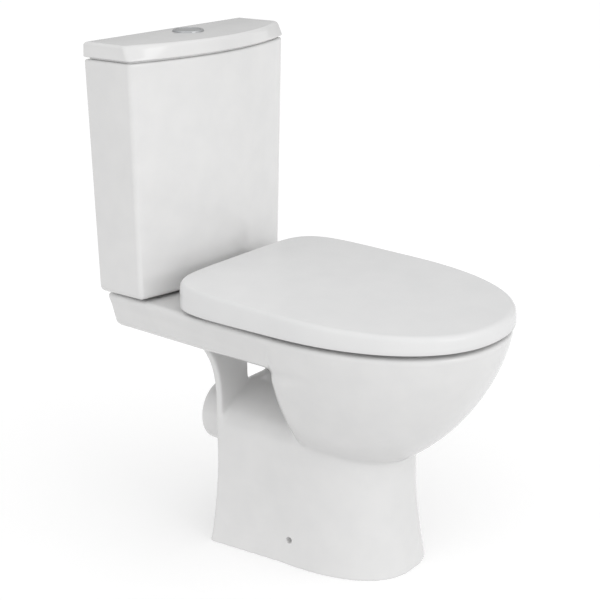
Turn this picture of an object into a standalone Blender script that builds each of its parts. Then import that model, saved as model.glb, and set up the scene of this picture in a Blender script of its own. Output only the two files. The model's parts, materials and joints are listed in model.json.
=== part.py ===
"""Close coupled toilet: pan, cistern, dual flush set, fill valve and lift-up seat.

Metres, +Z up.  The front of the pan faces -Y and the cistern back is the wall side, +Y.
The origin is on the floor, under the middle of the overall box.
"""
import math

import bmesh
import bpy
from mathutils import Matrix, Vector

# ------------------------------------------------------------------ driving dimensions
GAP = 0.0003                # clearance between two faces that touch
WALL_Y = 0.3057             # back of the cistern and of the shelf
DECK_Z = 0.396              # top of the rim and of the shelf behind it

# rim and bowl
RIM_Y = -0.0410             # widest line of the rim
RIM_HALF = 0.177            # half the rim's width
RIM_FRONT = 0.2616          # rim length in front of RIM_Y
BOWL_REAR = 0.062           # bowl length behind RIM_Y
BOWL_POWER = 2.25
BOWL_LOW_Z = 0.150          # bottom of the egg-shaped outside
BOWL_CROWN = 0.004          # the egg shape would close this far above the rim
BOWL_CURVE = 1.527
BOWL_SUMP = 0.026           # bottom of the outside to the bottom of the inside
CHINA = 0.011               # wall of the vitreous china
RIM_ROUND = 0.006           # radius of the rim's upper edge

# shelf under the cistern
SHELF_HALF = 0.157          # half width at the wall
SHELF_DEPTH = 0.060         # height of the visible band
SHELF_TAPER = 0.28          # how far the band leans in for each metre down
SHELF_SINK = 0.12           # and how much more at the bowl's front
SHELF_PLATE = 0.015         # thickness of the top plate
SHELF_CORNER = 0.005
HOLLOW_REAR = 0.022         # walls left round the hollow under the top plate
HOLLOW_SIDE = 0.020
HOLLOW_FRONT_Y = 0.030
HOLLOW_CORNER = 0.012
SHELF_REAR_ROUND = 0.003    # the rear face stays nearly upright

# pedestal
FOOT_Y = 0.0073             # line where the rounded front of the foot begins
FOOT_HALF = 0.098           # half width above the flare
FOOT_FRONT = 0.1625         # length in front of FOOT_Y above the flare
FOOT_POWER = 2.4
FOOT_ROUND = 0.002          # softened edge where the foot meets the floor
FLARE_Z = 0.140             # the foot widens below this height
FLARE_CURVE = 1.7
FLARE_SIDE = 0.0095
FLARE_FRONT = 0.0175
FLARE_CORNER = 0.0215       # flare at the two rear corners
FOOT_BACK = 0.1377          # rear face of the pedestal
HUMP_Z = 0.249              # top of the casing over the trap
HUMP_ROUND = 0.058
WEB_THICK = 0.012           # wall across the back of the pedestal
WEB_LOW_Z = 0.105
WEB_SPREAD_Z = 0.220        # the wall widens above this height
WEB_SIDE = 0.025            # how far inside the shelf's edge it ends
WINDOW_HALF = 0.029         # window in that wall, over the trap casing
WINDOW_CORNER = 0.008
FIX_HOLE_R = 0.0052
FIX_HOLE_Y = -0.0097
FIX_HOLE_Z = 0.041

# mouth of the bowl, trapway and outlet
RIM_BREADTH = 0.0530        # rim's outer edge to the mouth, at the sides
RIM_BREADTH_FRONT = 0.0536
RIM_BREADTH_REAR = 0.0220   # back of the bowl to the mouth
OPENING_HALF = RIM_HALF - RIM_BREADTH
OPENING_FRONT = RIM_FRONT - RIM_BREADTH_FRONT
OPENING_REAR = BOWL_REAR - RIM_BREADTH_REAR
LIP_DEPTH = 0.034           # how far the flushing rim hangs down
LIP_THICK = 0.007
DIP_Y = 0.034               # the trap passes under a dam here
DIP_Z = 0.148
DIP_BORE = 0.066
DAM_HALF = 0.010            # half the dam's thickness
WEIR_Y = 0.118              # and then over the weir, which sets the water level
WEIR_Z = 0.196
WEIR_BORE = 0.045
WEIR_ROUND = 0.014
TRAP_WALL = 0.008
SPIGOT_WALL = 0.0085
SPIGOT_BORE_R = 0.0425
SPIGOT_R = SPIGOT_BORE_R + SPIGOT_WALL
SPIGOT_Z = 0.173
SPIGOT_END_Y = 0.2107

# cistern
TANK_LIFT = 0.004           # the gasket and nut keep the cistern this far off the shelf
TANK_HEIGHT = 0.361
TANK_OVERHANG = (0.0117, 0.0202)      # past the shelf's sides, at the bottom and at the top
TANK_DEPTH_SIDE = (0.0881, 0.0940)    # wall to front corners, bottom and top
TANK_DEPTH = (0.1075, 0.1255)         # wall to the middle of the bowed front
TANK_WALL = 0.009
TANK_FLOOR = 0.012
TANK_ROUND = 0.010          # rounding of the bottom edge
TANK_CORNER_R = 0.009
CISTERN_REAR_R = 0.0015
TANK_Z = DECK_Z + TANK_LIFT
TANK_TOP_Z = TANK_Z + TANK_HEIGHT
TANK_HALF = tuple(SHELF_HALF + out for out in TANK_OVERHANG)
TANK_CORNER_Y = tuple(WALL_Y - depth for depth in TANK_DEPTH_SIDE)
TANK_FRONT_Y = tuple(WALL_Y - depth for depth in TANK_DEPTH)

# lid
LID_LIFT = 0.0033           # mouth of the cistern to the underside of the lid's edge
LID_HEIGHT = 0.0223
LID_OVERHANG = (0.0023, 0.0007)       # past the cistern's sides, at its edge and at its top
LID_CORNER_OUT = (0.0007, -0.0088)    # past the cistern's front corners
LID_FRONT_OUT = (0.0030, 0.0058)      # past the middle of its front
LID_ROUND = 0.005
LID_PLATE = 0.009
LID_RIB = 0.010             # depth of the rib that drops inside the cistern
LID_RIB_THICK = 0.006
LID_CLEAR = 0.002           # rib to the cistern's wall
LID_Z = (TANK_TOP_Z + LID_LIFT, TANK_TOP_Z + LID_LIFT + LID_HEIGHT)
LID_HALF = tuple(TANK_HALF[1] + out for out in LID_OVERHANG)
LID_CORNER_Y = tuple(TANK_CORNER_Y[1] - out for out in LID_CORNER_OUT)
LID_FRONT_Y = tuple(TANK_FRONT_Y[1] - out for out in LID_FRONT_OUT)

# flush valve, its inlet in the pan and the duct
TAIL_R = 0.0300
TAIL_WALL = 0.0045
TAIL_BORE_R = TAIL_R - TAIL_WALL
FLANGE_R = TAIL_R + 0.0045  # rests on the cistern's floor
FLANGE_CLEAR = 0.0032       # flange to the inside of the cistern's back
FLUSH_Y = WALL_Y - TANK_WALL - FLANGE_CLEAR - FLANGE_R
TAIL_CLEAR = 0.0010         # tail to its hole in the cistern
INLET_R = TAIL_R + 0.0030
RECESS_R = TAIL_R + 0.0125  # seat for the close coupling gasket
RECESS_DEPTH = 0.010
DUCT_HALF = INLET_R + 0.0030          # flush water duct under the shelf
DUCT_TOP = DECK_Z - 0.021
DUCT_HEIGHT = 0.022
VALVE_SEAT_Z = TANK_Z + 0.024
TOWER_R = TAIL_R + 0.0030
TOWER_WALL = 0.0018
TOWER_TOP_Z = TANK_TOP_Z - 0.121
STEM_R = 0.0120
STEM_WALL = 0.0018
STEM_CLEAR = 0.0006
SEAL_R = TAIL_BORE_R + 0.0030

# flush button: its rods pass either side of the overflow stem
ROD_R = 0.0020
ROD_CLEAR = 0.0004
ROD_X = STEM_R + ROD_R + 0.0010
SPRING_R = ROD_R + 0.0011
SPRING_WIRE = 0.0007
SPRING_TURNS = 6
SPRING_STEPS = 9
BUTTON_BORE_R = ROD_X + SPRING_R + 0.0009
BUTTON_RIM = 0.0056         # breadth of the collar's flange
BUTTON_R = BUTTON_BORE_R + BUTTON_RIM
BUTTON_WALL = 0.0022        # wall of the collar's tube
BUTTON_PROUD = 0.0030
BUTTON_DEPTH = 0.0060       # top of the lid to the underside of the buttons
BUTTON_TRAVEL = 0.006
BUTTON_SPLIT_X = -0.004     # the half flush side is the smaller one
BUTTON_CLEAR = 0.0004

# fill valve
FILL_TAIL_R = 0.0103
FILL_BORE_R = 0.0055
FILL_HOLE_R = FILL_TAIL_R + 0.0009
FILL_NUT_R = FILL_TAIL_R + 0.0062
FILL_DECK_HOLE_R = FILL_NUT_R + 0.0025
FILL_SIDE = 0.018           # shelf's edge to the hole that the tail passes through
FILL_X = SHELF_HALF - FILL_DECK_HOLE_R - FILL_SIDE
FILL_Y = FLUSH_Y
FILL_TAIL_Z = DECK_Z - 0.051
FILL_STEM_R = 0.0110
FILL_HEAD_R = 0.0150
FILL_HEAD_HEIGHT = 0.028
ARM_PIVOT_Z = TANK_TOP_Z - 0.059
ARM_PIVOT_RISE = 0.014      # top of the valve's head to the arm's pin
ARM_PIN_R = 0.0016
ARM_PIN_CLEAR = 0.0003
DIAPHRAGM_OFFSET = 0.004    # the pin stands off the pivot, under the arm's nose
DIAPHRAGM_R = 0.0018
SCREW_R = 0.0021
CUP_HALF_X = 0.0175
CUP_HALF_Y = 0.0230
CUP_HEIGHT = 0.050
CUP_WALL = 0.0016
CUP_X = (TOWER_R + FILL_X - FILL_HEAD_R) / 2    # midway between the two valves

# cistern bolts, midway between the flush duct and the fill valve's back nut
BOLT_X = (DUCT_HALF + CHINA + FILL_X - FILL_NUT_R) / 2
BOLT_R = 0.0040
BOLT_HOLE_R = BOLT_R + 0.0015
NUT_R = 0.0080              # wing nuts on the cistern bolts and the hinge studs
NUT_HEIGHT = 0.010
WING_REACH = 0.0065
WING_THICK = 0.0028

# seat ring, hinges and cover
SEAT_LIFT = 0.007           # rim to the underside of the ring and of the cover's edge
HINGE_DEPTH = 0.0305        # cistern's front to the hinge pins
HINGE_X = 0.0775
HINGE_R = 0.0070
HINGE_RISE = 0.0125         # top of the ring to the hinge pins
PIN_R = 0.0032
PAD_THICK = 0.0018
POST_FOOT_R = 0.0150
STUD_R = 0.0040
STUD_HOLE_R = STUD_R + 0.0025
STUD_REACH = 0.024          # below the shelf's plate
POST_HALF = 0.0070          # half the width of the hinge post
POST_CLEAR = 0.0017         # hinge post to the cover above it
LUG_GAP = 0.0010
LUG_THICK = 0.0130
RING_THICK = 0.0155
RING_CLEAR = 0.0020         # ring to the inside of the cover
RING_BACK = 0.0140          # hinge pins to the rear edge of the ring
RING_BREADTH = 0.0632       # breadth of the ring at its sides
RING_BREADTH_FRONT = 0.0740
RING_BREADTH_REAR = 0.0717
COVER_OUT = 0.0040          # past the rim at the sides
COVER_OUT_FRONT = 0.0032
COVER_BEHIND = 0.0208       # past the hinge pins at the rear
COVER_POWER = 2.25
COVER_REAR_POWER = 5.9
COVER_SLOPE = 0.0349        # the cover is thicker towards the hinges
COVER_WALL = 0.0038
HINGE_Y = TANK_FRONT_Y[1] - HINGE_DEPTH
COVER_Z = DECK_Z + SEAT_LIFT
RING_Z = COVER_Z
HINGE_Z = RING_Z + RING_THICK + HINGE_RISE
COVER_HALF = RIM_HALF + COVER_OUT
COVER_FRONT = RIM_FRONT + COVER_OUT_FRONT
COVER_REAR = HINGE_Y + COVER_BEHIND - RIM_Y
COVER_TOP_Z = HINGE_Z + HINGE_R + POST_CLEAR + COVER_WALL - COVER_SLOPE * HINGE_Y    # at y = 0
RING_HALF = COVER_HALF - COVER_WALL - RING_CLEAR
RING_FRONT = COVER_FRONT - COVER_WALL - RING_CLEAR
RING_REAR = HINGE_Y - RING_BACK - RIM_Y
BUFFER_R = 0.009
BUFFER_TURN = 56            # degrees round from the side to the front buffers
BUFFER_REAR = 0.071         # rear buffers behind the rim's widest line

TOP = bpy.data.collections.new("close_coupled_toilet")
CUTTERS = bpy.data.collections.new("cutters")


# ------------------------------------------------------------------ small helpers
def clear_scene():
    """Remove the start-up objects and link the two collections."""
    for obj in list(bpy.data.objects):
        bpy.data.objects.remove(obj, do_unlink=True)
    bpy.context.scene.collection.children.link(TOP)
    bpy.context.scene.collection.children.link(CUTTERS)


def material(name, colour, roughness, metallic=0.0):
    """A Principled material, made once and then shared."""
    found = bpy.data.materials.get(name)
    if found:
        return found
    made = bpy.data.materials.new(name)
    made.use_nodes = True
    shader = made.node_tree.nodes["Principled BSDF"]
    shader.inputs["Base Color"].default_value = (*colour, 1.0)
    shader.inputs["Roughness"].default_value = roughness
    shader.inputs["Metallic"].default_value = metallic
    made.diffuse_color = (*colour, 1.0)
    return made


def china():
    return material("china", (0.86, 0.86, 0.85), 0.08)


def seat_plastic():
    return material("seat_plastic", (0.85, 0.85, 0.85), 0.22)


def valve_plastic():
    return material("valve_plastic", (0.72, 0.74, 0.75), 0.40)


def rubber():
    return material("rubber", (0.05, 0.05, 0.05), 0.75)


def soft_white():
    return material("soft_white", (0.70, 0.70, 0.69), 0.60)


def chrome():
    return material("chrome", (0.80, 0.80, 0.80), 0.06, 1.0)


def steel():
    return material("steel", (0.62, 0.62, 0.60), 0.30, 1.0)


def brass():
    return material("brass", (0.72, 0.55, 0.25), 0.30, 1.0)


def add_object(name, bm, finish=None):
    """Turn a bmesh into an object of the toilet, or into a cutter when it has no finish."""
    bmesh.ops.recalc_face_normals(bm, faces=bm.faces)
    mesh = bpy.data.meshes.new(name)
    bm.to_mesh(mesh)
    bm.free()
    obj = bpy.data.objects.new(name, mesh)
    if finish is None:
        CUTTERS.objects.link(obj)
        obj.hide_render = True
        obj.display_type = "WIRE"
    else:
        TOP.objects.link(obj)
        mesh.materials.append(finish)
        mesh.shade_smooth()
        mesh.set_sharp_from_angle(angle=math.radians(35))
    return obj


def boolean(obj, other, operation):
    step = obj.modifiers.new(f"{operation.lower()} {other.name}", "BOOLEAN")
    step.operation = operation
    step.solver = "EXACT"
    step.object = other


def cut(obj, *others):
    for other in others:
        boolean(obj, other, "DIFFERENCE")


def join(obj, *others):
    for other in others:
        boolean(obj, other, "UNION")


def soften(obj, width, segments=2, angle=40):
    step = obj.modifiers.new("edges", "BEVEL")
    step.width = width
    step.segments = segments
    step.limit_method = "ANGLE"
    step.angle_limit = math.radians(angle)


def hang_on(obj, centre):
    """Put the object's origin on its joint, leaving its shape where it is."""
    obj.data.transform(Matrix.Translation(-Vector(centre)))
    obj.location = Vector(centre)


def rod(name, radius, start, end, finish=None, sides=16, radius_end=None):
    """A round bar between two points, or a cone when radius_end is given."""
    start, end = Vector(start), Vector(end)
    bm = bmesh.new()
    turn = (end - start).to_track_quat("Z", "Y").to_matrix().to_4x4()
    bmesh.ops.create_cone(bm, cap_ends=True, segments=sides, radius1=radius,
                          radius2=radius if radius_end is None else radius_end,
                          depth=(end - start).length,
                          matrix=Matrix.Translation((start + end) / 2) @ turn)
    return add_object(name, bm, finish)


def block(name, low, high, finish=None):
    """A box given by its lowest and highest corners."""
    low, high = Vector(low), Vector(high)
    bm = bmesh.new()
    size = Matrix.Diagonal((*(high - low), 1.0))
    bmesh.ops.create_cube(bm, size=1.0, matrix=Matrix.Translation((low + high) / 2) @ size)
    return add_object(name, bm, finish)


def turned(name, profile, centre, finish=None, sides=24, closed=True):
    """A profile of (radius, height) points, turned about an upright axis at centre."""
    bm = bmesh.new()
    verts = [bm.verts.new((radius, 0.0, height)) for radius, height in profile]
    edges = [bm.edges.new(pair) for pair in zip(verts, verts[1:])]
    if closed:
        edges.append(bm.edges.new((verts[-1], verts[0])))
    bmesh.ops.spin(bm, geom=verts + edges, cent=(0, 0, 0), axis=(0, 0, 1),
                   angle=math.tau, steps=sides, use_merge=True)
    bmesh.ops.remove_doubles(bm, verts=bm.verts, dist=0.00001)
    bmesh.ops.translate(bm, verts=bm.verts, vec=centre)
    return add_object(name, bm, finish)


def to_flats(radius, sides):
    """Corner radius of a polygon whose flats lie at this radius, so that a round bar fits it."""
    return radius / math.cos(math.pi / sides)


def washer(name, outer, inner, low, high, centre, finish, sides=20):
    bore = to_flats(inner, sides)
    profile = [(bore, high), (outer, high), (outer, low), (bore, low)]
    return turned(name, profile, (*centre, 0.0), finish, sides)


def loft(name, rings, finish=None):
    """Skin a stack of closed rings that have the same number of points."""
    bm = bmesh.new()
    rows = [[bm.verts.new(point) for point in ring] for ring in rings]
    count = len(rows[0])
    for lower, upper in zip(rows, rows[1:]):
        for i in range(count):
            j = (i + 1) % count
            bm.faces.new((lower[i], lower[j], upper[j], upper[i]))
    bm.faces.new(list(reversed(rows[0])))
    bm.faces.new(rows[-1])
    return add_object(name, bm, finish)


def extrude_y(name, outline, y_low, y_high, finish=None):
    """A flat outline of (x, z) points given thickness along Y."""
    return loft(name, [[(x, y, z) for x, z in outline] for y in (y_low, y_high)], finish)


def extrude_x(name, outline, x_low, x_high, finish=None):
    """A flat outline of (y, z) points given thickness along X."""
    return loft(name, [[(x, y, z) for y, z in outline] for x in (x_low, x_high)], finish)


def power(value, exponent):
    """A signed power, for superellipses."""
    return math.copysign(abs(value) ** exponent, value)


def mix(pair, share):
    return pair[0] + (pair[1] - pair[0]) * share


def arc(cx, cy, radius, start, end, steps):
    """Points on a circular arc, angles in degrees."""
    angles = [math.radians(start + (end - start) * i / steps) for i in range(steps + 1)]
    return [(cx + radius * math.cos(a), cy + radius * math.sin(a)) for a in angles]


# ------------------------------------------------------------------ plan outlines
def egg(half, front, rear, centre_y, z, rear_power=BOWL_POWER, count=48, front_power=BOWL_POWER):
    """Closed outline of two superellipse halves that share their widest line."""
    ring = []
    for i in range(count):
        angle = math.tau * (i + 0.5) / count
        side, along = math.cos(angle), math.sin(angle)
        exponent = 2 / (front_power if along < 0 else rear_power)
        reach = front if along < 0 else rear
        ring.append((half * power(side, exponent), centre_y + reach * power(along, exponent), z))
    return ring


def half_round_front(half, front, centre_y, power_, steps):
    """The superellipse front from (-half, centre_y) round to (half, centre_y)."""
    points = []
    for i in range(steps + 1):
        angle = math.pi + math.pi * i / steps
        points.append((half * power(math.cos(angle), 2 / power_),
                       centre_y + front * power(math.sin(angle), 2 / power_)))
    return points


def shelf_outline(z, inset, front_inset, corner=SHELF_CORNER):
    """Rim and shelf from above, drawn in from the full outline by inset."""
    half = RIM_HALF - front_inset
    rear_half = SHELF_HALF - inset
    rear_y = WALL_Y - min(inset, SHELF_REAR_ROUND)
    points = half_round_front(half, RIM_FRONT - front_inset, RIM_Y, BOWL_POWER, 28)
    points += arc(rear_half - corner, rear_y - corner, corner, 0, 90, 4)
    points += arc(-rear_half + corner, rear_y - corner, corner, 90, 180, 4)
    return [(x, y, z) for x, y in points]


def foot_outline(z, half, front, corner_half, back):
    """Pedestal section: rounded front, straight sides, square back."""
    points = half_round_front(half, front, FOOT_Y, FOOT_POWER, 20)
    points += [(corner_half, back), (-corner_half, back)]
    return [(x, y, z) for x, y in points]


def cistern_outline(z, half, corner_y, front_y, back_y, corner_r, front_steps=10):
    """Cistern section: flat back, straight sides and a bowed front with round corners."""
    points = arc(-half + corner_r, corner_y + corner_r, corner_r, 180, 250, 4)
    start_y = points[-1][1]
    start_x = points[-1][0]
    for i in range(1, front_steps):
        x = start_x + (-2 * start_x) * i / front_steps
        points.append((x, front_y + (start_y - front_y) * (x / start_x) ** 2))
    points += arc(half - corner_r, corner_y + corner_r, corner_r, 290, 360, 4)
    small = CISTERN_REAR_R
    points += arc(half - small, back_y - small, small, 0, 90, 2)
    points += arc(-half + small, back_y - small, small, 90, 180, 2)
    return [(x, y, z) for x, y in points]


# ------------------------------------------------------------------ pan
def bowl_scale(z, depth):
    """Share of the rim's plan size that the bowl keeps at height z."""
    drop = max(DECK_Z + BOWL_CROWN - z, 0.0)
    return math.sqrt(max(1.0 - (drop / depth) ** BOWL_CURVE, 0.0))


def bowl_ring(z, wall=0.0):
    """Section of the bowl, of its outside or drawn in by the wall."""
    depth = DECK_Z + BOWL_CROWN - BOWL_LOW_Z - wall
    scale = bowl_scale(z, depth)
    rear_scale = bowl_scale(z, depth * 1.3)
    return egg((RIM_HALF - wall) * scale, (RIM_FRONT - wall) * scale,
               (BOWL_REAR - wall) * rear_scale, RIM_Y, z)


def flare(z):
    return max(1.0 - z / FLARE_Z, 0.0) ** FLARE_CURVE


def shoulder(z):
    """The trap casing's width closes like an ellipse towards its top."""
    start = HUMP_Z - HUMP_ROUND
    if z <= start:
        return 1.0
    return math.sqrt(max(1.0 - ((z - start) / HUMP_ROUND) ** 2, 0.0))


def foot_ring(z, wall=0.0, back=FOOT_BACK):
    width = shoulder(z + wall * 0.7)
    half = (FOOT_HALF + FLARE_SIDE * flare(z)) * width - wall
    corner = (FOOT_HALF + FLARE_CORNER * flare(z)) * width - wall
    front = FOOT_FRONT + FLARE_FRONT * flare(z) - wall
    return foot_outline(z, half, front, corner, back)


def shelf_band():
    """The rim's full outline, carried back as the shelf under the cistern."""
    bottom = DECK_Z - SHELF_DEPTH
    lean = SHELF_DEPTH * SHELF_TAPER
    levels = [(bottom, lean + 0.008), (bottom + 0.002, lean + 0.003)]
    for z in (bottom + 0.008, bottom + 0.024, DECK_Z - 0.018, DECK_Z - RIM_ROUND):
        levels.append((z, (DECK_Z - RIM_ROUND - z) * SHELF_TAPER))
    levels += [(DECK_Z - 0.0018, RIM_ROUND * 0.29), (DECK_Z, RIM_ROUND)]
    rings = []
    for z, inset in levels:
        sink = SHELF_SINK * (DECK_Z - RIM_ROUND - z) if z < DECK_Z - RIM_ROUND else 0.0
        rings.append(shelf_outline(z, inset, inset + sink))
    return loft("pan", rings, china())


def shelf_hollow():
    """Space under the shelf's top plate, open below."""
    corner = HOLLOW_CORNER
    corner_x, corner_y = SHELF_HALF - HOLLOW_REAR - corner, WALL_Y - HOLLOW_REAR - corner
    outline = arc(corner_x, corner_y, corner, 0, 90, 3)
    outline += arc(-corner_x, corner_y, corner, 90, 180, 3)
    outline += [(HOLLOW_SIDE - SHELF_HALF, HOLLOW_FRONT_Y), (SHELF_HALF - HOLLOW_SIDE, HOLLOW_FRONT_Y)]
    levels = (DECK_Z - SHELF_DEPTH - 0.01, DECK_Z - SHELF_PLATE)
    return loft("shelf_hollow", [[(x, y, z) for x, y in outline] for z in levels])


def hump_levels(top, angles):
    """Heights round the casing's shoulder, at these angles from its side to its top."""
    return [top - HUMP_ROUND * (1 - math.sin(math.radians(angle))) for angle in angles]


def pedestal():
    levels = [0.0, 0.004, 0.03, 0.06, 0.10, FLARE_Z, 0.165]
    levels += hump_levels(HUMP_Z, (0, 18, 36, 54, 70, 84))
    rings = [foot_ring(z) for z in levels]
    rings[0] = foot_outline(0.0, FOOT_HALF + FLARE_SIDE - FOOT_ROUND, FOOT_FRONT + FLARE_FRONT - FOOT_ROUND,
                            FOOT_HALF + FLARE_CORNER - FOOT_ROUND, FOOT_BACK)
    return loft("pedestal", rings)


def foot_hollow():
    levels = [-0.01, 0.03, 0.06, 0.10, FLARE_Z, 0.165]
    levels += hump_levels(HUMP_Z - CHINA, (0, 18, 36, 54, 70))
    back = FOOT_BACK - WEB_THICK
    return loft("foot_hollow", [foot_ring(z, CHINA, back) for z in levels])


def foot_doorway():
    """Opening at the back of the foot, arched at its top."""
    half = FOOT_HALF - CHINA - 0.002
    spring = SPIGOT_Z - SPIGOT_R - 0.025
    outline = [(-half, -0.01), (half, -0.01)]
    outline += [(x, spring + (z - spring) * 0.25) for x, z in arc(0, spring, half, 0, 180, 8)]
    return extrude_y("foot_doorway", outline, FOOT_BACK - 0.05, FOOT_BACK + 0.02)


def rear_web():
    """Wall across the back that spreads in a hollow curve up to the shelf."""
    span = (WEB_SPREAD_Z, DECK_Z - SHELF_DEPTH)
    widest = SHELF_HALF - WEB_SIDE - FOOT_HALF
    profile = [(FOOT_HALF + FLARE_CORNER * flare(z), z) for z in (WEB_LOW_Z, 0.17)]
    for share in (0.0, 0.26, 0.475, 0.65, 0.776, 0.88, 0.95, 1.0):
        profile.append((FOOT_HALF + widest * share ** 3, mix(span, share)))
    profile.append((FOOT_HALF + widest, DECK_Z - RIM_ROUND))
    outline = profile + [(-x, z) for x, z in reversed(profile)]
    return extrude_y("rear_web", outline, FOOT_BACK - WEB_THICK, FOOT_BACK + 0.0002)


def web_window():
    """Gap between the trap casing and the flush duct, right through the rear wall."""
    half, corner = WINDOW_HALF, WINDOW_CORNER
    low, high = HUMP_Z + 0.002, DUCT_TOP - DUCT_HEIGHT - CHINA - 0.001
    outline = [(half, high), (-half, high)]
    outline += arc(-half + corner, low + corner, corner, 180, 270, 2)
    outline += arc(half - corner, low + corner, corner, 270, 360, 2)
    return extrude_y("web_window", outline, FOOT_BACK - 0.05, FOOT_BACK + 0.02)


def around(pivot, radius, angle):
    """Point (y, z) at a distance from a pivot; the angle is in degrees from +Y."""
    turn = math.radians(angle)
    return (pivot[0] + radius * math.cos(turn), pivot[1] + radius * math.sin(turn))


def trap_stations():
    """Sections of the trapway from the bowl to the outlet: two points of each, and half its width.

    The sections fan round the dip, which the water always covers, and then round the weir.
    """
    dip = (DIP_Y, DIP_Z + DAM_HALF)
    weir = (WEIR_Y, WEIR_Z - WEIR_ROUND)
    stations = [((0.000, 0.222), (-0.085, 0.222), 0.052), ((0.016, 0.195), (-0.058, 0.195), 0.048)]
    for angle in (180, 210, 240, 270, 300, 330, 355):
        stations.append((around(dip, DAM_HALF, angle), around(dip, DAM_HALF + DIP_BORE, angle), 0.042))
    for angle in (175, 145, 115, 90, 65):
        near, far = around(weir, WEIR_ROUND + WEIR_BORE, angle), around(weir, WEIR_ROUND, angle)
        stations.append((near, far, 0.040))
    stations.append(((WEIR_Y + 0.048, SPIGOT_Z + 0.046), (WEIR_Y + 0.033, SPIGOT_Z - 0.018), 0.041))
    end = SPIGOT_BORE_R - 0.001
    for y in (SPIGOT_END_Y - 0.034, SPIGOT_END_Y - 0.024):
        stations.append(((y, SPIGOT_Z + end), (y, SPIGOT_Z - end), end))
    return stations


def trap_tube(name, wall, sides=16):
    """Loft of ellipses through the trap's stations, grown by the wall."""
    rings = []
    for near, far, half in trap_stations():
        first, last = Vector((0.0, *near)), Vector((0.0, *far))
        out = (last - first).normalized() * wall
        first, last = first - out, last + out
        centre, reach = (first + last) / 2, (last - first) / 2
        angles = [math.tau * k / sides for k in range(sides)]
        side = Vector((half + wall, 0, 0))
        rings.append([centre + reach * math.sin(a) + side * math.cos(a) for a in angles])
    return loft(name, rings)


def bowl_inside():
    """Space inside the bowl, cut off short of the flushing rim."""
    span = (BOWL_LOW_Z + BOWL_SUMP, DECK_Z - 0.014)
    shares = (0.0, 0.045, 0.115, 0.215, 0.36, 0.505, 0.65, 0.795, 0.895, 1.0)
    cutter = loft("bowl_inside", [bowl_ring(mix(span, share), CHINA) for share in shares])
    cut(cutter, flushing_lip())
    return cutter


def opening_ring(z, grow):
    return egg(OPENING_HALF + grow, OPENING_FRONT + grow, OPENING_REAR + grow, RIM_Y, z, BOWL_POWER)


def flushing_lip():
    """Rim wall that hangs inside the bowl and guides the flush water."""
    low, high = DECK_Z - LIP_DEPTH - 0.010, DECK_Z
    lip = loft("flushing_lip", [opening_ring(z, LIP_THICK) for z in (low, high)])
    hollow = loft("lip_hollow", [opening_ring(z, 0.0002) for z in (low - 0.01, high + 0.01)])
    cut(lip, hollow)
    return lip


def mouth():
    return loft("mouth", [opening_ring(z, 0.0) for z in (DECK_Z - LIP_DEPTH - 0.02, DECK_Z + 0.01)])


def make_pan():
    """Vitreous china casting: rim, bowl, trap, flush duct, shelf and pedestal in one piece."""
    pan = shelf_band()
    cut(pan, shelf_hollow())
    join(pan, pedestal())
    cut(pan, foot_hollow(), foot_doorway())
    web = rear_web()
    cut(web, web_window())
    join(pan, web)
    span = (BOWL_LOW_Z + 0.002, DECK_Z - 0.005)
    shares = (0.0, 0.017, 0.054, 0.117, 0.2, 0.285, 0.41, 0.535, 0.66, 0.787, 0.89, 1.0)
    join(pan, loft("bowl_outside", [bowl_ring(mix(span, share)) for share in shares]))
    join(pan, trap_tube("trap_outside", TRAP_WALL))
    join(pan, rod("spigot", SPIGOT_R, (0, FOOT_BACK - 0.004, SPIGOT_Z), (0, SPIGOT_END_Y, SPIGOT_Z),
                  sides=32))
    duct_low = DUCT_TOP - DUCT_HEIGHT
    join(pan, block("duct_outside", (-DUCT_HALF - CHINA, 0.005, duct_low - CHINA),
                    (DUCT_HALF + CHINA, FLUSH_Y + DUCT_HALF + 0.005, DECK_Z - 0.004)))
    cut(pan, bowl_inside(), mouth(), trap_tube("trap_inside", 0.0))
    cut(pan, rod("spigot_bore", SPIGOT_BORE_R, (0, SPIGOT_END_Y - 0.028, SPIGOT_Z),
                 (0, SPIGOT_END_Y + 0.01, SPIGOT_Z), sides=32))
    cut(pan, block("duct_inside", (-DUCT_HALF, -0.012, duct_low),
                   (DUCT_HALF, FLUSH_Y + DUCT_HALF - 0.003, DUCT_TOP)))
    low, high = DECK_Z - SHELF_PLATE - 0.01, DECK_Z + 0.01
    cut(pan, rod("inlet", INLET_R, (0, FLUSH_Y, DUCT_TOP - 0.01), (0, FLUSH_Y, high), sides=28))
    cut(pan, rod("inlet_recess", RECESS_R, (0, FLUSH_Y, DECK_Z - RECESS_DEPTH), (0, FLUSH_Y, high), sides=32))
    for side in (-1, 1):
        bolt_x, stud_x = side * BOLT_X, side * HINGE_X
        cut(pan, rod("bolt_hole", BOLT_HOLE_R, (bolt_x, FLUSH_Y, low), (bolt_x, FLUSH_Y, high)))
        cut(pan, rod("stud_hole", STUD_HOLE_R, (stud_x, HINGE_Y, low), (stud_x, HINGE_Y, high)))
        cut(pan, rod("fix_hole", FIX_HOLE_R, (side * (FOOT_HALF - 0.03), FIX_HOLE_Y, FIX_HOLE_Z),
                     (side * (FOOT_HALF + 0.03), FIX_HOLE_Y, FIX_HOLE_Z)))
    cut(pan, rod("fill_hole", FILL_DECK_HOLE_R, (FILL_X, FILL_Y, low), (FILL_X, FILL_Y, high), sides=24))
    return pan


# ------------------------------------------------------------------ cistern
def tank_ring(z, inset=0.0):
    share = (z - TANK_Z) / (TANK_TOP_Z - TANK_Z)
    return cistern_outline(z, mix(TANK_HALF, share) - inset, mix(TANK_CORNER_Y, share) + inset,
                           mix(TANK_FRONT_Y, share) + inset, WALL_Y - inset,
                           max(TANK_CORNER_R - inset, 0.004))


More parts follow.
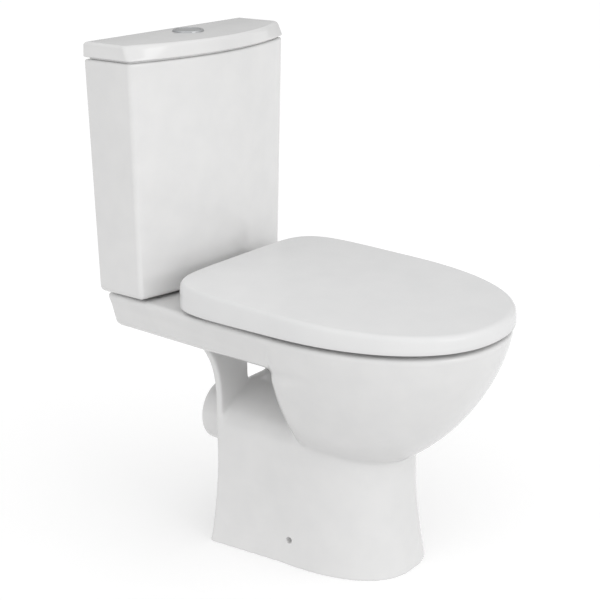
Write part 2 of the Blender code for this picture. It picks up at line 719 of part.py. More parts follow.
def make_tank():
    """Open-topped china box with holes for the two valves and the two bolts."""
    levels = [(TANK_Z, TANK_ROUND), (TANK_Z + 0.0025, TANK_ROUND * 0.4), (TANK_Z + TANK_ROUND, 0.0),
              (TANK_TOP_Z - 0.004, 0.0), (TANK_TOP_Z, 0.003)]
    tank = loft("cistern_tank", [tank_ring(z, inset) for z, inset in levels], china())
    inside = [(TANK_Z + TANK_FLOOR, TANK_WALL + 0.0015), (TANK_Z + TANK_FLOOR + 0.004, TANK_WALL),
              (TANK_TOP_Z + 0.01, TANK_WALL)]
    cut(tank, loft("tank_inside", [tank_ring(z, inset) for z, inset in inside]))
    low, high = TANK_Z - 0.01, TANK_Z + TANK_FLOOR + 0.01
    cut(tank, rod("tail_hole", TAIL_R + TAIL_CLEAR, (0, FLUSH_Y, low), (0, FLUSH_Y, high), sides=28))
    cut(tank, rod("fill_tail_hole", FILL_HOLE_R, (FILL_X, FILL_Y, low), (FILL_X, FILL_Y, high), sides=20))
    for side in (-1, 1):
        x = side * BOLT_X
        cut(tank, rod("tank_bolt_hole", BOLT_HOLE_R, (x, FLUSH_Y, low), (x, FLUSH_Y, high)))
    return tank


def lid_ring(z, inset=0.0, back_inset=None):
    share = (z - LID_Z[0]) / (LID_Z[1] - LID_Z[0])
    share = min(max(share, 0.0), 1.0)
    back = WALL_Y - (inset if back_inset is None else back_inset)
    return cistern_outline(z, mix(LID_HALF, share) - inset, mix(LID_CORNER_Y, share) + inset,
                           mix(LID_FRONT_Y, share) + inset, back, max(TANK_CORNER_R - inset, 0.004))


def land_ring(z, inset):
    """Outline of the tank's mouth, drawn in by inset, at another height."""
    return [(x, y, z) for x, y, _ in tank_ring(TANK_TOP_Z, inset)]


def make_lid():
    """Cistern lid: a shallow tray upside down, with a rib that drops inside the cistern."""
    low, high = LID_Z
    levels = [(low, 0.0020), (low + 0.002, 0.0), (high - LID_ROUND, 0.0),
              (high - 0.0015, LID_ROUND * 0.35), (high, LID_ROUND * 1.1)]
    lid = loft("cistern_lid", [lid_ring(z, inset) for z, inset in levels], china())
    bearing = TANK_TOP_Z + GAP
    join(lid, loft("lid_land", [land_ring(z, 0.0055) for z in (bearing, low + 0.004)]))
    rib_low = bearing - LID_RIB
    rib_out = TANK_WALL + LID_CLEAR
    rib_in = rib_out + LID_RIB_THICK
    join(lid, loft("lid_rib", [land_ring(z, rib_out) for z in (rib_low, low + 0.004)]))
    cut(lid, loft("lid_inside", [land_ring(z, rib_in) for z in (rib_low - 0.01, high - LID_PLATE)]))
    cut(lid, rod("lid_hole", BUTTON_BORE_R + BUTTON_WALL + GAP, (0, FLUSH_Y, low),
                 (0, FLUSH_Y, high + 0.01), sides=28))
    return lid


# ------------------------------------------------------------------ flush button
def half_disc(name, side, radius, low, high, finish):
    """One of the two buttons: the part of a disc on one side of the split."""
    split = BUTTON_SPLIT_X + side * BUTTON_CLEAR
    start = math.degrees(math.acos(split / radius))
    sweep = (-start, start) if side > 0 else (start, 360 - start)
    outline = arc(0, 0, radius, *sweep, 12)
    button = loft(name, [[(x, FLUSH_Y + y, z) for x, y in outline] for z in (low, high)], finish)
    soften(button, 0.0006, 2)
    return button


def coil_spring(name, x, y, low, high):
    """Return spring round a push rod, with its wire centre kept inside low and high."""
    curve = bpy.data.curves.new(name, "CURVE")
    curve.dimensions = "3D"
    curve.bevel_depth = SPRING_WIRE / 2
    curve.bevel_resolution = 0
    curve.use_fill_caps = True
    spline = curve.splines.new("POLY")
    count = SPRING_TURNS * SPRING_STEPS + 1
    spline.points.add(count - 1)
    rise = high - low - SPRING_WIRE
    for i, point in enumerate(spline.points):
        angle = math.tau * i / SPRING_STEPS
        height = low + SPRING_WIRE / 2 + rise * i / (count - 1)
        point.co = (x + SPRING_R * math.cos(angle), y + SPRING_R * math.sin(angle), height, 1.0)
    spring = bpy.data.objects.new(name, curve)
    TOP.objects.link(spring)
    curve.materials.append(steel())
    return spring


def make_button_set():
    top = LID_Z[1]
    plate_low = top - LID_PLATE
    ledge = plate_low - 0.0225
    tube = BUTTON_BORE_R + BUTTON_WALL
    centre = (0.0, FLUSH_Y, 0.0)
    collar = turned("button_collar", [
        (BUTTON_BORE_R, top + BUTTON_PROUD - 0.0004), (BUTTON_R - 0.0022, top + BUTTON_PROUD),
        (BUTTON_R - 0.0004, top + BUTTON_PROUD - 0.0012), (BUTTON_R, top + GAP),
        (tube, top + GAP), (tube, ledge - 0.0015),
        (0.0060, ledge - 0.0015), (0.0060, ledge), (BUTTON_BORE_R, ledge)], centre, chrome(), 28)
    turned("button_nut", [
        (tube + GAP, plate_low - GAP), (tube + 0.0083, plate_low - GAP),
        (tube + 0.0083, plate_low - 0.0075), (tube + GAP, plate_low - 0.0075)],
        centre, valve_plastic(), 24)
    for name, side in (("full_flush", 1), ("half_flush", -1)):
        x = side * ROD_X
        low, high = top - BUTTON_DEPTH, top + BUTTON_PROUD - 0.0006
        button = half_disc(f"{name}_button", side, BUTTON_BORE_R - BUTTON_CLEAR, low, high, chrome())
        rod_end = TOWER_TOP_Z + BUTTON_TRAVEL + 0.0005
        push = rod(f"{name}_push_rod", ROD_R, (x, FLUSH_Y, low - GAP), (x, FLUSH_Y, rod_end),
                   valve_plastic(), 10)
        cut(collar, rod("rod_hole", ROD_R + ROD_CLEAR, (x, FLUSH_Y, ledge - 0.01),
                        (x, FLUSH_Y, ledge + 0.01), sides=12))
        coil_spring(f"{name}_spring", x, FLUSH_Y, ledge + GAP, low - GAP)
        hang_on(button, (x, FLUSH_Y, low))
        push.parent = button
        push.matrix_parent_inverse = button.matrix_basis.inverted()


# ------------------------------------------------------------------ flush valve
def make_flush_valve():
    centre = (0.0, FLUSH_Y, 0.0)
    floor = TANK_Z + TANK_FLOOR
    gasket_low = DECK_Z - RECESS_DEPTH + GAP
    nut_low = gasket_low + 0.0052
    turned("flush_valve_base", [
        (TAIL_BORE_R, VALVE_SEAT_Z), (TAIL_BORE_R + 0.003, VALVE_SEAT_Z), (TAIL_R + 0.0005, floor + 0.0048),
        (FLANGE_R, floor + 0.0045), (FLANGE_R, floor + GAP), (TAIL_R, floor + GAP),
        (TAIL_R, DUCT_TOP + 0.002), (TAIL_BORE_R, DUCT_TOP + 0.002)], centre, valve_plastic(), 28)
    washer("flush_valve_backnut", TAIL_R + 0.0100, TAIL_R + GAP, nut_low + GAP, TANK_Z - GAP,
           (0.0, FLUSH_Y), valve_plastic(), 12)
    washer("close_coupling_gasket", RECESS_R - 0.0020, TAIL_R + 0.0006, gasket_low, nut_low,
           (0.0, FLUSH_Y), rubber(), 28)
    foot = floor + 0.0050
    tower = turned("flush_valve_tower", [
        (0.0, TOWER_TOP_Z), (TOWER_R - 0.003, TOWER_TOP_Z), (TOWER_R, TOWER_TOP_Z - 0.004),
        (TOWER_R, foot), (TOWER_R - TOWER_WALL, foot), (TOWER_R - TOWER_WALL, TOWER_TOP_Z - 0.012),
        (0.0, TOWER_TOP_Z - 0.012)], centre, valve_plastic(), 24, closed=False)
    for turn in (0, 90):
        window = block("tower_window", (-0.05, -0.014, foot + 0.010), (0.05, 0.014, foot + 0.075))
        window.rotation_euler.z = math.radians(turn)
        window.location = (0.0, FLUSH_Y, 0.0)
        cut(tower, window)
    cut(tower, rod("stem_hole", STEM_R + STEM_CLEAR, (0, FLUSH_Y, TOWER_TOP_Z - 0.05),
                   (0, FLUSH_Y, TOWER_TOP_Z + 0.01), sides=20))
    seal_low = VALVE_SEAT_Z + GAP
    stem = turned("overflow_stem", [
        (STEM_R - STEM_WALL, TOWER_TOP_Z + 0.010), (STEM_R, TOWER_TOP_Z + 0.010), (STEM_R, seal_low + 0.012),
        (SEAL_R - 0.0015, seal_low + 0.0075), (SEAL_R - 0.0015, seal_low + 0.0035),
        (STEM_R - STEM_WALL, seal_low + 0.0035)], centre, valve_plastic(), 20)
    seal = washer("flush_valve_seal", SEAL_R, STEM_R - 0.0010, seal_low, seal_low + 0.0032,
                  (0.0, FLUSH_Y), rubber(), 20)
    hang_on(stem, (0.0, FLUSH_Y, VALVE_SEAT_Z))
    hang_on(seal, (0.0, FLUSH_Y, VALVE_SEAT_Z))


# ------------------------------------------------------------------ fill valve
def make_fill_valve():
    floor = TANK_Z + TANK_FLOOR
    centre = (FILL_X, FILL_Y)
    head_high = ARM_PIVOT_Z - ARM_PIVOT_RISE
    head_low = head_high - FILL_HEAD_HEIGHT
    skirt = floor + 0.0035
    body = turned("fill_valve_body", [
        (0.0, head_high), (FILL_HEAD_R, head_high), (FILL_HEAD_R, head_low), (FILL_STEM_R, head_low - 0.004),
        (FILL_STEM_R, floor + 0.014), (FILL_NUT_R, floor + 0.012), (FILL_NUT_R, skirt), (FILL_TAIL_R, skirt),
        (FILL_TAIL_R, FILL_TAIL_Z), (FILL_BORE_R, FILL_TAIL_Z), (FILL_BORE_R, head_low + 0.010),
        (0.0, head_low + 0.010)], (*centre, 0.0), valve_plastic(), 20, closed=False)
    port_z = head_low - 0.02
    cut(body, rod("outlet_port", 0.0035, (FILL_X, FILL_Y, port_z), (FILL_X + 0.03, FILL_Y, port_z), sides=10))
    washer("fill_valve_washer", FILL_NUT_R - 0.0005, FILL_TAIL_R + GAP, floor + GAP, skirt - GAP, centre,
           rubber())
    washer("fill_valve_backnut", FILL_NUT_R, FILL_TAIL_R + GAP, TANK_Z - 0.0130, TANK_Z - GAP, centre,
           valve_plastic(), 12)
    cap_low = head_high + GAP
    cap = turned("fill_valve_cap", [(0.0066, cap_low + 0.006), (FILL_HEAD_R, cap_low + 0.005),
                                    (FILL_HEAD_R, cap_low), (0.0066, cap_low)],
                 (*centre, 0.0), valve_plastic(), 20)
    pin_hole_r = ARM_PIN_R + ARM_PIN_CLEAR
    for side in (-1, 1):
        y = FILL_Y + side * 0.0070
        join(cap, block("cap_cheek", (FILL_X - 0.004, y - 0.0015, cap_low + 0.002),
                        (FILL_X + 0.004, y + 0.0015, ARM_PIVOT_Z + 0.004)))
        cut(cap, rod("cheek_hole", pin_hole_r, (FILL_X, y - 0.005, ARM_PIVOT_Z),
                     (FILL_X, y + 0.005, ARM_PIVOT_Z), sides=10))
    rod("arm_pivot_pin", ARM_PIN_R, (FILL_X, FILL_Y - 0.0095, ARM_PIVOT_Z),
        (FILL_X, FILL_Y + 0.0095, ARM_PIVOT_Z), steel(), 10)
    pin_x = FILL_X + DIAPHRAGM_OFFSET
    pin = rod("diaphragm_pin", DIAPHRAGM_R, (pin_x, FILL_Y, cap_low + 0.0018),
              (pin_x, FILL_Y, ARM_PIVOT_Z - 0.0042), brass(), 10)
    hang_on(pin, (pin_x, FILL_Y, cap_low))
    make_float(head_high)


def make_float(head_high):
    """Float arm with its adjusting screw and an open-bottomed float cup."""
    pivot = Vector((FILL_X, FILL_Y, ARM_PIVOT_Z))
    screw_hole_r = SCREW_R + GAP
    arm = block("float_arm", (CUP_X - 0.006, FILL_Y - 0.0045, ARM_PIVOT_Z - 0.0030),
                (FILL_X + 0.0060, FILL_Y + 0.0045, ARM_PIVOT_Z + 0.0030), valve_plastic())
    reach = Vector((0, 0.01, 0))
    cut(arm, rod("arm_hole", ARM_PIN_R + ARM_PIN_CLEAR, pivot - reach, pivot + reach, sides=10))
    cut(arm, rod("screw_hole", screw_hole_r, (CUP_X, FILL_Y, ARM_PIVOT_Z - 0.01),
                 (CUP_X, FILL_Y, ARM_PIVOT_Z + 0.01), sides=10))
    screw = rod("float_adjusting_screw", SCREW_R, (CUP_X, FILL_Y, head_high - 0.030),
                (CUP_X, FILL_Y, ARM_PIVOT_Z + 0.016), brass(), 10)
    top = head_high - 0.014
    low = top - CUP_HEIGHT
    cup = block("float_cup", (CUP_X - CUP_HALF_X, FILL_Y - CUP_HALF_Y, low),
                (CUP_X + CUP_HALF_X, FILL_Y + CUP_HALF_Y, top), valve_plastic())
    half_x, half_y = CUP_HALF_X - CUP_WALL, CUP_HALF_Y - CUP_WALL
    cut(cup, block("cup_inside", (CUP_X - half_x, FILL_Y - half_y, low - 0.01),
                   (CUP_X + half_x, FILL_Y + half_y, top - CUP_WALL)))
    cut(cup, rod("cup_hole", screw_hole_r, (CUP_X, FILL_Y, top - 0.01), (CUP_X, FILL_Y, top + 0.01), sides=10))
    for piece in (arm, screw, cup):
        hang_on(piece, pivot)


# ------------------------------------------------------------------ fasteners
def wing_nut(name, x, y, top, bore, finish):
    """Wing nut: a short tapered collar with two flat wings."""
    sides = 16
    bore = to_flats(bore, sides)
    low = top - NUT_HEIGHT
    nut = turned(name, [(bore, top), (NUT_R, top), (NUT_R * 0.85, low), (bore, low)], (x, y, 0.0),
                 finish, sides)
    half = WING_THICK / 2
    for side in (-1, 1):
        inner, outer = sorted((x + side * (NUT_R - 0.003), x + side * (NUT_R + WING_REACH)))
        join(nut, block("wing", (inner, y - half, low - 0.003), (outer, y + half, top - 0.0015)))


def make_tank_bolts():
    floor = TANK_Z + TANK_FLOOR
    plate_low = DECK_Z - SHELF_PLATE
    for label, side in (("left", -1), ("right", 1)):
        x = side * BOLT_X
        spot = (x, FLUSH_Y)
        washer(f"tank_bolt_rubber_{label}", 0.0110, BOLT_R + GAP, floor + GAP, floor + 0.0030, spot,
               rubber(), 16)
        head = floor + 0.0033
        turned(f"tank_bolt_{label}", [
            (0.0, head + 0.0040), (0.0065, head + 0.0036), (0.0085, head + 0.0015), (0.0085, head),
            (BOLT_R, head), (BOLT_R, plate_low - 0.026), (0.0, plate_low - 0.026)],
            (x, FLUSH_Y, 0.0), steel(), 16, closed=False)
        washer(f"tank_bolt_washer_{label}", 0.0100, BOLT_R + GAP, plate_low - 0.0020, plate_low - GAP,
               spot, steel(), 16)
        wing_nut(f"tank_bolt_wing_nut_{label}", x, FLUSH_Y, plate_low - 0.0023, BOLT_R + GAP, steel())


# ------------------------------------------------------------------ seat
def make_hinges():
    plate_low = DECK_Z - SHELF_PLATE
    for label, side in (("left", -1), ("right", 1)):
        x = side * HINGE_X
        pad_top = DECK_Z + PAD_THICK
        washer(f"hinge_pad_{label}", POST_FOOT_R, STUD_R + GAP, DECK_Z + GAP, pad_top, (x, HINGE_Y),
               seat_plastic(), 20)
        foot_low = pad_top + GAP
        stud_low = plate_low - STUD_REACH
        post = turned(f"hinge_post_{label}", [
            (0.0, foot_low + 0.0050), (POST_FOOT_R - 0.006, foot_low + 0.0045),
            (POST_FOOT_R, foot_low + 0.0015), (POST_FOOT_R, foot_low),
            (STUD_R, foot_low), (STUD_R, stud_low), (0.0, stud_low)],
            (x, HINGE_Y, 0.0), chrome(), 20, closed=False)
        outline = [(HINGE_Y - HINGE_R, foot_low + 0.001)]
        outline += [(y, z) for y, z in reversed(arc(HINGE_Y, HINGE_Z, HINGE_R, 0, 180, 8))]
        outline.append((HINGE_Y + HINGE_R, foot_low + 0.001))
        join(post, extrude_x("post_barrel", outline, x - POST_HALF, x + POST_HALF))
        reach = POST_HALF + LUG_GAP + LUG_THICK - 0.001
        cut(post, rod("post_bore", PIN_R + GAP, (x - reach, HINGE_Y, HINGE_Z), (x + reach, HINGE_Y, HINGE_Z)))
        rod(f"hinge_pin_{label}", PIN_R, (x - reach, HINGE_Y, HINGE_Z), (x + reach, HINGE_Y, HINGE_Z),
            steel(), 14)
        washer(f"hinge_washer_{label}", 0.0105, STUD_R + GAP, plate_low - 0.0028, plate_low - GAP,
               (x, HINGE_Y), rubber(), 16)
        wing_nut(f"hinge_wing_nut_{label}", x, HINGE_Y, plate_low - 0.0031, STUD_R + GAP, valve_plastic())


def lug(name, x_low, x_high, root):
    """Hinge eye with a web that joins it to the seat piece; root is where the web ends."""
    if root == "ring":
        web_y = HINGE_Y - RING_BACK - 0.016
        outline = arc(HINGE_Y, HINGE_Z, HINGE_R, -90, 90, 8)
        outline += [(HINGE_Y - HINGE_R + 0.001, HINGE_Z + HINGE_R - 0.002),
                    (web_y, RING_Z + RING_THICK - 0.002),
                    (web_y, RING_Z + 0.004), (HINGE_Y - 0.012, RING_Z + 0.004)]
    else:
        web_z = cover_top(HINGE_Y) - 0.002
        outline = arc(HINGE_Y, HINGE_Z, HINGE_R, 180, 360, 8)
        outline += [(HINGE_Y + HINGE_R, web_z), (HINGE_Y - HINGE_R, web_z)]
    return extrude_x(name, outline, x_low, x_high)


def cover_top(y):
    return COVER_TOP_Z + COVER_SLOPE * y


def cover_ring(share, inset):
    """Cover section: share 0 is the lower edge and share 1 the sloping top."""
    plan = egg(COVER_HALF - inset, COVER_FRONT - inset * 1.5, COVER_REAR - inset, RIM_Y, 0.0,
               COVER_REAR_POWER, 56, COVER_POWER)
    return [(x, y, COVER_Z + (cover_top(y) - COVER_Z) * share) for x, y, _ in plan]


def ring_levels():
    """Heights of the ring's edge and how far it is drawn in at each."""
    low, high = RING_Z, RING_Z + RING_THICK
    return [(low, 0.003), (low + 0.003, 0.0), (high - 0.005, 0.0), (high - 0.0015, 0.002), (high, 0.006)]


def swing_radius():
    """Reach of the cover's rear skirt that swings past the rear edge of the ring."""
    return min(math.hypot(RING_BACK + inset, HINGE_Z - z) for z, inset in ring_levels()) - LUG_GAP


def make_cover():
    """Wrap-over seat cover: a shell that hides the ring, with an eye beside each hinge post."""
    levels = [(0.0, 0.0012), (0.05, 0.0), (0.80, 0.0006), (0.93, 0.0022), (1.0, 0.0062)]
    cover = loft("seat_cover", [cover_ring(share, inset) for share, inset in levels], seat_plastic())
    plan = egg(COVER_HALF - COVER_WALL, COVER_FRONT - COVER_WALL, COVER_REAR - COVER_WALL, RIM_Y, 0.0,
               COVER_REAR_POWER, 56, COVER_POWER)
    hollow = [[(x, y, COVER_Z - 0.01) for x, y, _ in plan],
              [(x, y, cover_top(y) - COVER_WALL) for x, y, _ in plan]]
    cut(cover, loft("cover_inside", hollow))
    past = COVER_HALF + 0.02
    swing = block("cover_swing", (-past, HINGE_Y, COVER_Z - 0.02), (past, HINGE_Y + 0.06, HINGE_Z))
    cut(swing, rod("swing_round", swing_radius(), (-past - 0.01, HINGE_Y, HINGE_Z),
                   (past + 0.01, HINGE_Y, HINGE_Z), sides=32))
    cut(cover, swing)
    rear_y = RIM_Y + COVER_REAR
    for side in (-1, 1):
        near = HINGE_X + POST_HALF + LUG_GAP
        far = HINGE_X - POST_HALF - LUG_GAP - LUG_THICK - LUG_GAP
        x_low, x_high = sorted((side * near, side * far))
        cut(cover, block("post_notch", (x_low, HINGE_Y + HINGE_R + LUG_GAP, COVER_Z - 0.01),
                         (x_high, rear_y + 0.01, cover_top(rear_y) - COVER_WALL)))
        ends = sorted((side * near, side * (near + LUG_THICK)))
        join(cover, lug("cover_lug", *ends, "cover"))
        cut(cover, rod("cover_bore", PIN_R + GAP, (ends[0] - 0.002, HINGE_Y, HINGE_Z),
                       (ends[1] + 0.002, HINGE_Y, HINGE_Z)))
    hang_on_joint(cover)
    return cover


def hang_on_joint(obj):
    """Parent a seat piece to the empty on the hinge line."""
    axis = bpy.data.objects.get("seat_hinge_axis")
    if axis is None:
        axis = bpy.data.objects.new("seat_hinge_axis", None)
        axis.location = (0.0, HINGE_Y, HINGE_Z)
        TOP.objects.link(axis)
    obj.parent = axis
    obj.matrix_parent_inverse = Matrix.Translation(axis.location).inverted()


def make_ring():
    """Seat ring: flat ring under the cover with a notch at each hinge post."""
    low, high = RING_Z, RING_Z + RING_THICK
    ring = loft("seat_ring", [egg(RING_HALF - inset, RING_FRONT - inset, RING_REAR - inset, RIM_Y, z,
                                  COVER_REAR_POWER, 48) for z, inset in ring_levels()], seat_plastic())
    half, front = RING_HALF - RING_BREADTH, RING_FRONT - RING_BREADTH_FRONT
    rear = RING_REAR - RING_BREADTH_REAR
    inside = [(low - 0.005, 0.0), (low + 0.008, 0.0), (high + 0.001, 0.010)]
    cut(ring, loft("ring_opening", [egg(half + grow, front + grow, rear + grow, RIM_Y, z, 2.6, 40)
                                    for z, grow in inside]))
    notch, clear = POST_FOOT_R + 0.0035, POST_FOOT_R + 0.0060
    for side in (-1, 1):
        x = side * HINGE_X
        cut(ring, block("post_notch", (x - notch, HINGE_Y - clear, low - 0.01),
                        (x + notch, HINGE_Y + 0.02, high + 0.01)))
        near = HINGE_X - POST_HALF - LUG_GAP
        ends = sorted((side * near, side * (near - LUG_THICK)))
        join(ring, lug("ring_lug", *ends, "ring"))
        cut(ring, rod("ring_bore", PIN_R + GAP, (ends[0] - 0.002, HINGE_Y, HINGE_Z),
                      (ends[1] + 0.002, HINGE_Y, HINGE_Z)))
    hang_on_joint(ring)
    return ring


def buffer(name, x, y, radius, low, high):
    """Soft buffer, a little narrower where it meets the face it lands on."""
    profile = [(0.0, high), (radius, high), (radius - 0.001, low), (0.0, low)]
    hang_on_joint(turned(name, profile, (x, y, 0.0), soft_white(), 14, closed=False))


def make_buffers():
    """Soft buffers half way across the ring: four under it and two between it and the cover."""
    middle = RING_HALF - RING_BREADTH / 2
    turn = math.radians(BUFFER_TURN)
    front_x = middle * power(math.cos(turn), 2 / BOWL_POWER)
    front_y = RIM_Y - (RING_FRONT - RING_BREADTH_FRONT / 2) * power(math.sin(turn), 2 / BOWL_POWER)
    ring_top = RING_Z + RING_THICK
    cover_low = cover_top(front_y - BUFFER_R) - COVER_WALL
    for label, side in (("left", -1), ("right", 1)):
        buffer(f"ring_buffer_front_{label}", side * front_x, front_y, BUFFER_R, DECK_Z + GAP, RING_Z - GAP)
        buffer(f"ring_buffer_rear_{label}", side * middle, RIM_Y + BUFFER_REAR, BUFFER_R,
               DECK_Z + GAP, RING_Z - GAP)
        buffer(f"cover_buffer_{label}", side * front_x, front_y, BUFFER_R - 0.002,
               ring_top + GAP, cover_low - GAP)


def main():
    clear_scene()
    make_pan()
    make_tank()
    make_lid()
    make_button_set()
    make_flush_valve()
    make_fill_valve()
    make_tank_bolts()
    make_hinges()
    make_ring()
    make_cover()
    make_buffers()


main()
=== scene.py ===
"""Looks of the close coupled toilet: fine china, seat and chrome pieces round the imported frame.

Metres, +Z up.  The front of the pan faces -Y and the wall is at +Y, as in the frame.
"""
import json
import math

import bmesh
import bpy
import numpy as np
from mathutils import Matrix, Vector


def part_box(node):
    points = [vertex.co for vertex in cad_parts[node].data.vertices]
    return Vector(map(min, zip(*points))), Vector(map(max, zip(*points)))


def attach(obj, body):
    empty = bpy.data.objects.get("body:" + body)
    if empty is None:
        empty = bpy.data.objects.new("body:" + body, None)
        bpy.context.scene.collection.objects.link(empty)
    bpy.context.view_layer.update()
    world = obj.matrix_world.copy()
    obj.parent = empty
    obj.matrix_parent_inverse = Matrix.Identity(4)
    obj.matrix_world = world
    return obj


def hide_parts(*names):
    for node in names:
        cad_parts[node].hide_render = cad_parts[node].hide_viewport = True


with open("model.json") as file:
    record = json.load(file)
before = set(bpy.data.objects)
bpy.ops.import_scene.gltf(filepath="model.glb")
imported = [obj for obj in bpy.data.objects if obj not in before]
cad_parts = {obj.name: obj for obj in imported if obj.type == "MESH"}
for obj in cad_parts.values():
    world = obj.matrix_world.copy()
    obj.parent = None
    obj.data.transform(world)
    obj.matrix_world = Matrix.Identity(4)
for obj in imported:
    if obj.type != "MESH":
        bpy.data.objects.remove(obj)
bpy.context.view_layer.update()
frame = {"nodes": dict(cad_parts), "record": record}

ROOT = "china_and_fittings"

# ------------------------------------------------------------------ sizes, from the frame where it shows them
PAN_LOW, PAN_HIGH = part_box("pan")
TANK_LOW, TANK_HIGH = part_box("cistern_tank")
LID_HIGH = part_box("cistern_lid")[1]
COVER_LOW, COVER_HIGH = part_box("seat_cover")

WALL_Y = PAN_HIGH.y
DECK_Z = PAN_HIGH.z
RIM_Y = -0.0410
RIM_HALF = PAN_HIGH.x
RIM_FRONT = RIM_Y - PAN_LOW.y
BOWL_REAR = 0.062
BOWL_POWER = 2.25
BOWL_DEPTH = 0.250
BOWL_CURVE = 1.527
CHINA = 0.011
RIM_ROUND = 0.006

SHELF_HALF = 0.157
SHELF_DEPTH = 0.060
SHELF_TAPER = 0.28
SHELF_PLATE = 0.015
SHELF_CORNER = 0.005
SHELF_REAR_ROUND = 0.003
SHELF_SINK = 0.12
HOLLOW_REAR = 0.022
HOLLOW_SIDE = 0.020
HOLLOW_CORNER = 0.012
HOLLOW_FRONT_Y = 0.030

FOOT_Y = 0.0073
FOOT_HALF = 0.098
FOOT_FRONT = 0.1625
FOOT_POWER = 2.4
FLARE_Z = 0.140
FLARE_POWER = 1.7
FLARE_SIDE = 0.0095
FLARE_FRONT = 0.0175
FLARE_CORNER = 0.0215
FOOT_BACK = 0.1377
HUMP_Z = 0.249
HUMP_ROUND = 0.058
WEB_THICK = 0.012
WEB_SPREAD = 0.034
WEB_SPREAD_Z = 0.220
WEB_LOW_Z = 0.105
WINDOW_HALF = 0.029
WINDOW_CORNER = 0.008
FIX_HOLE_R = 0.0052
FIX_HOLE_Y = -0.0097
FIX_HOLE_Z = 0.041

OPENING_HALF = 0.124
OPENING_FRONT = 0.208
OPENING_REAR = 0.040
LIP_DEPTH = 0.034
LIP_THICK = 0.007
DIP = (0.034, 0.158)
DIP_BORE = 0.066
DAM_HALF = 0.010
WEIR = (0.118, 0.182)
WEIR_BORE = 0.045
WEIR_ROUND = 0.014
TRAP_WALL = 0.008
SPIGOT_R = 0.051
SPIGOT_BORE_R = 0.0425
SPIGOT_Z = 0.173
SPIGOT_END_Y = 0.2107
DUCT_HALF = 0.036
DUCT_TOP = 0.375
DUCT_HEIGHT = 0.022
INLET_R = 0.033
RECESS_R = 0.0425
RECESS_DEPTH = 0.010

TANK_HALF = (0.1687, 0.1772)
TANK_CORNER_Y = (0.2176, 0.2117)
TANK_FRONT_Y = (0.1982, 0.1802)
TANK_WALL = 0.009
TANK_FLOOR = 0.012
TANK_ROUND = 0.010
TANK_CORNER_R = 0.009
CISTERN_REAR_R = 0.0015
LID_EDGE_Z = 0.7643
LID_HALF = (0.1795, 0.1779)
LID_CORNER_Y = (0.2110, 0.2205)
LID_FRONT_Y = (0.1772, 0.1744)
LID_ROUND = 0.005
LID_PLATE = 0.009
LID_RIB = 0.010

FLUSH_Y = 0.2590
BUTTON_R = 0.0246
BUTTON_BORE_R = 0.0190
BUTTON_SPLIT_X = -0.004
BUTTON_CLEAR = 0.0004
COLLAR_ROLL = 0.0026
COLLAR_WALL = 0.0022
COLLAR_LEDGE = 0.0015
COLLAR_HOLE_R = 0.0060
ROD_HOLE_R = 0.0024
TAIL_R = 0.0300
BOLT_X = 0.07525
BOLT_HOLE_R = 0.0055
FILL_X = 0.120
FILL_HOLE_R = 0.0112
FILL_DECK_HOLE_R = 0.0190

HINGE_Y = 0.1497
HINGE_Z = 0.431
HINGE_X = 0.0775
HINGE_R = 0.0070
PIN_R = 0.0032
STUD_HOLE_R = 0.0065
POST_HALF = 0.0070
LUG_GAP = 0.0010
LUG_THICK = 0.0130
COVER_HALF = COVER_HIGH.x
COVER_FRONT = RIM_Y - COVER_LOW.y
COVER_REAR = 0.2115
COVER_POWER = 2.25
COVER_REAR_POWER = 5.9
COVER_Z = 0.403
COVER_TOP_Z = 0.4383
COVER_SLOPE = 0.0349
COVER_WALL = 0.0038
COVER_SWING_R = 0.0203
RING_Z = 0.403
RING_THICK = 0.0155
RING_CLEAR = 0.0020
RING_BACK = 0.0140
RING_CROWN = 0.0065
POST_FOOT_R = 0.0150
RING_OPEN = (0.112, 0.185, 0.105)
GAP = 0.0003

VOXEL = 0.0019
SKY_STRENGTH = 1.13
SKY_FRONT = (-0.50, -0.70, 0.50)
SKY_STOPS = ((0.0, 0.40), (0.22, 0.50), (0.5, 0.67), (0.8, 0.93), (1.0, 1.0))
FLOOR_GLOW = 0.30


# ------------------------------------------------------------------ mesh helpers
def as_object(name, bm):
    """Link a bmesh as an object with its faces pointing out."""
    bmesh.ops.recalc_face_normals(bm, faces=bm.faces)
    mesh = bpy.data.meshes.new(name)
    bm.to_mesh(mesh)
    bm.free()
    obj = bpy.data.objects.new(name, mesh)
    bpy.context.scene.collection.objects.link(obj)
    return obj


def settle(obj):
    """Replace an object's mesh by its evaluated one, and drop its modifiers."""
    depsgraph = bpy.context.evaluated_depsgraph_get()
    mesh = bpy.data.meshes.new_from_object(obj.evaluated_get(depsgraph))
    obj.modifiers.clear()
    obj.data = mesh
    return obj


def combine(obj, others, operation):
    """Boolean a list of objects into obj, then remove them."""
    for other in others:
        step = obj.modifiers.new(other.name, "BOOLEAN")
        step.operation = operation
        step.solver = "EXACT"
        step.object = other
    settle(obj)
    for other in others:
        bpy.data.objects.remove(other, do_unlink=True)
    return obj


def cut(obj, *others):
    return combine(obj, others, "DIFFERENCE")


def join(obj, *others):
    return combine(obj, others, "UNION")


def rod(name, radius, start, end, sides=48):
    start, end = Vector(start), Vector(end)
    bm = bmesh.new()
    turn = (end - start).to_track_quat("Z", "Y").to_matrix().to_4x4()
    bmesh.ops.create_cone(bm, cap_ends=True, segments=sides, radius1=radius, radius2=radius,
                          depth=(end - start).length,
                          matrix=Matrix.Translation((start + end) / 2) @ turn)
    return as_object(name, bm)


def block(name, low, high):
    low, high = Vector(low), Vector(high)
    bm = bmesh.new()
    size = Matrix.Diagonal((*(high - low), 1.0))
    bmesh.ops.create_cube(bm, size=1.0, matrix=Matrix.Translation((low + high) / 2) @ size)
    return as_object(name, bm)


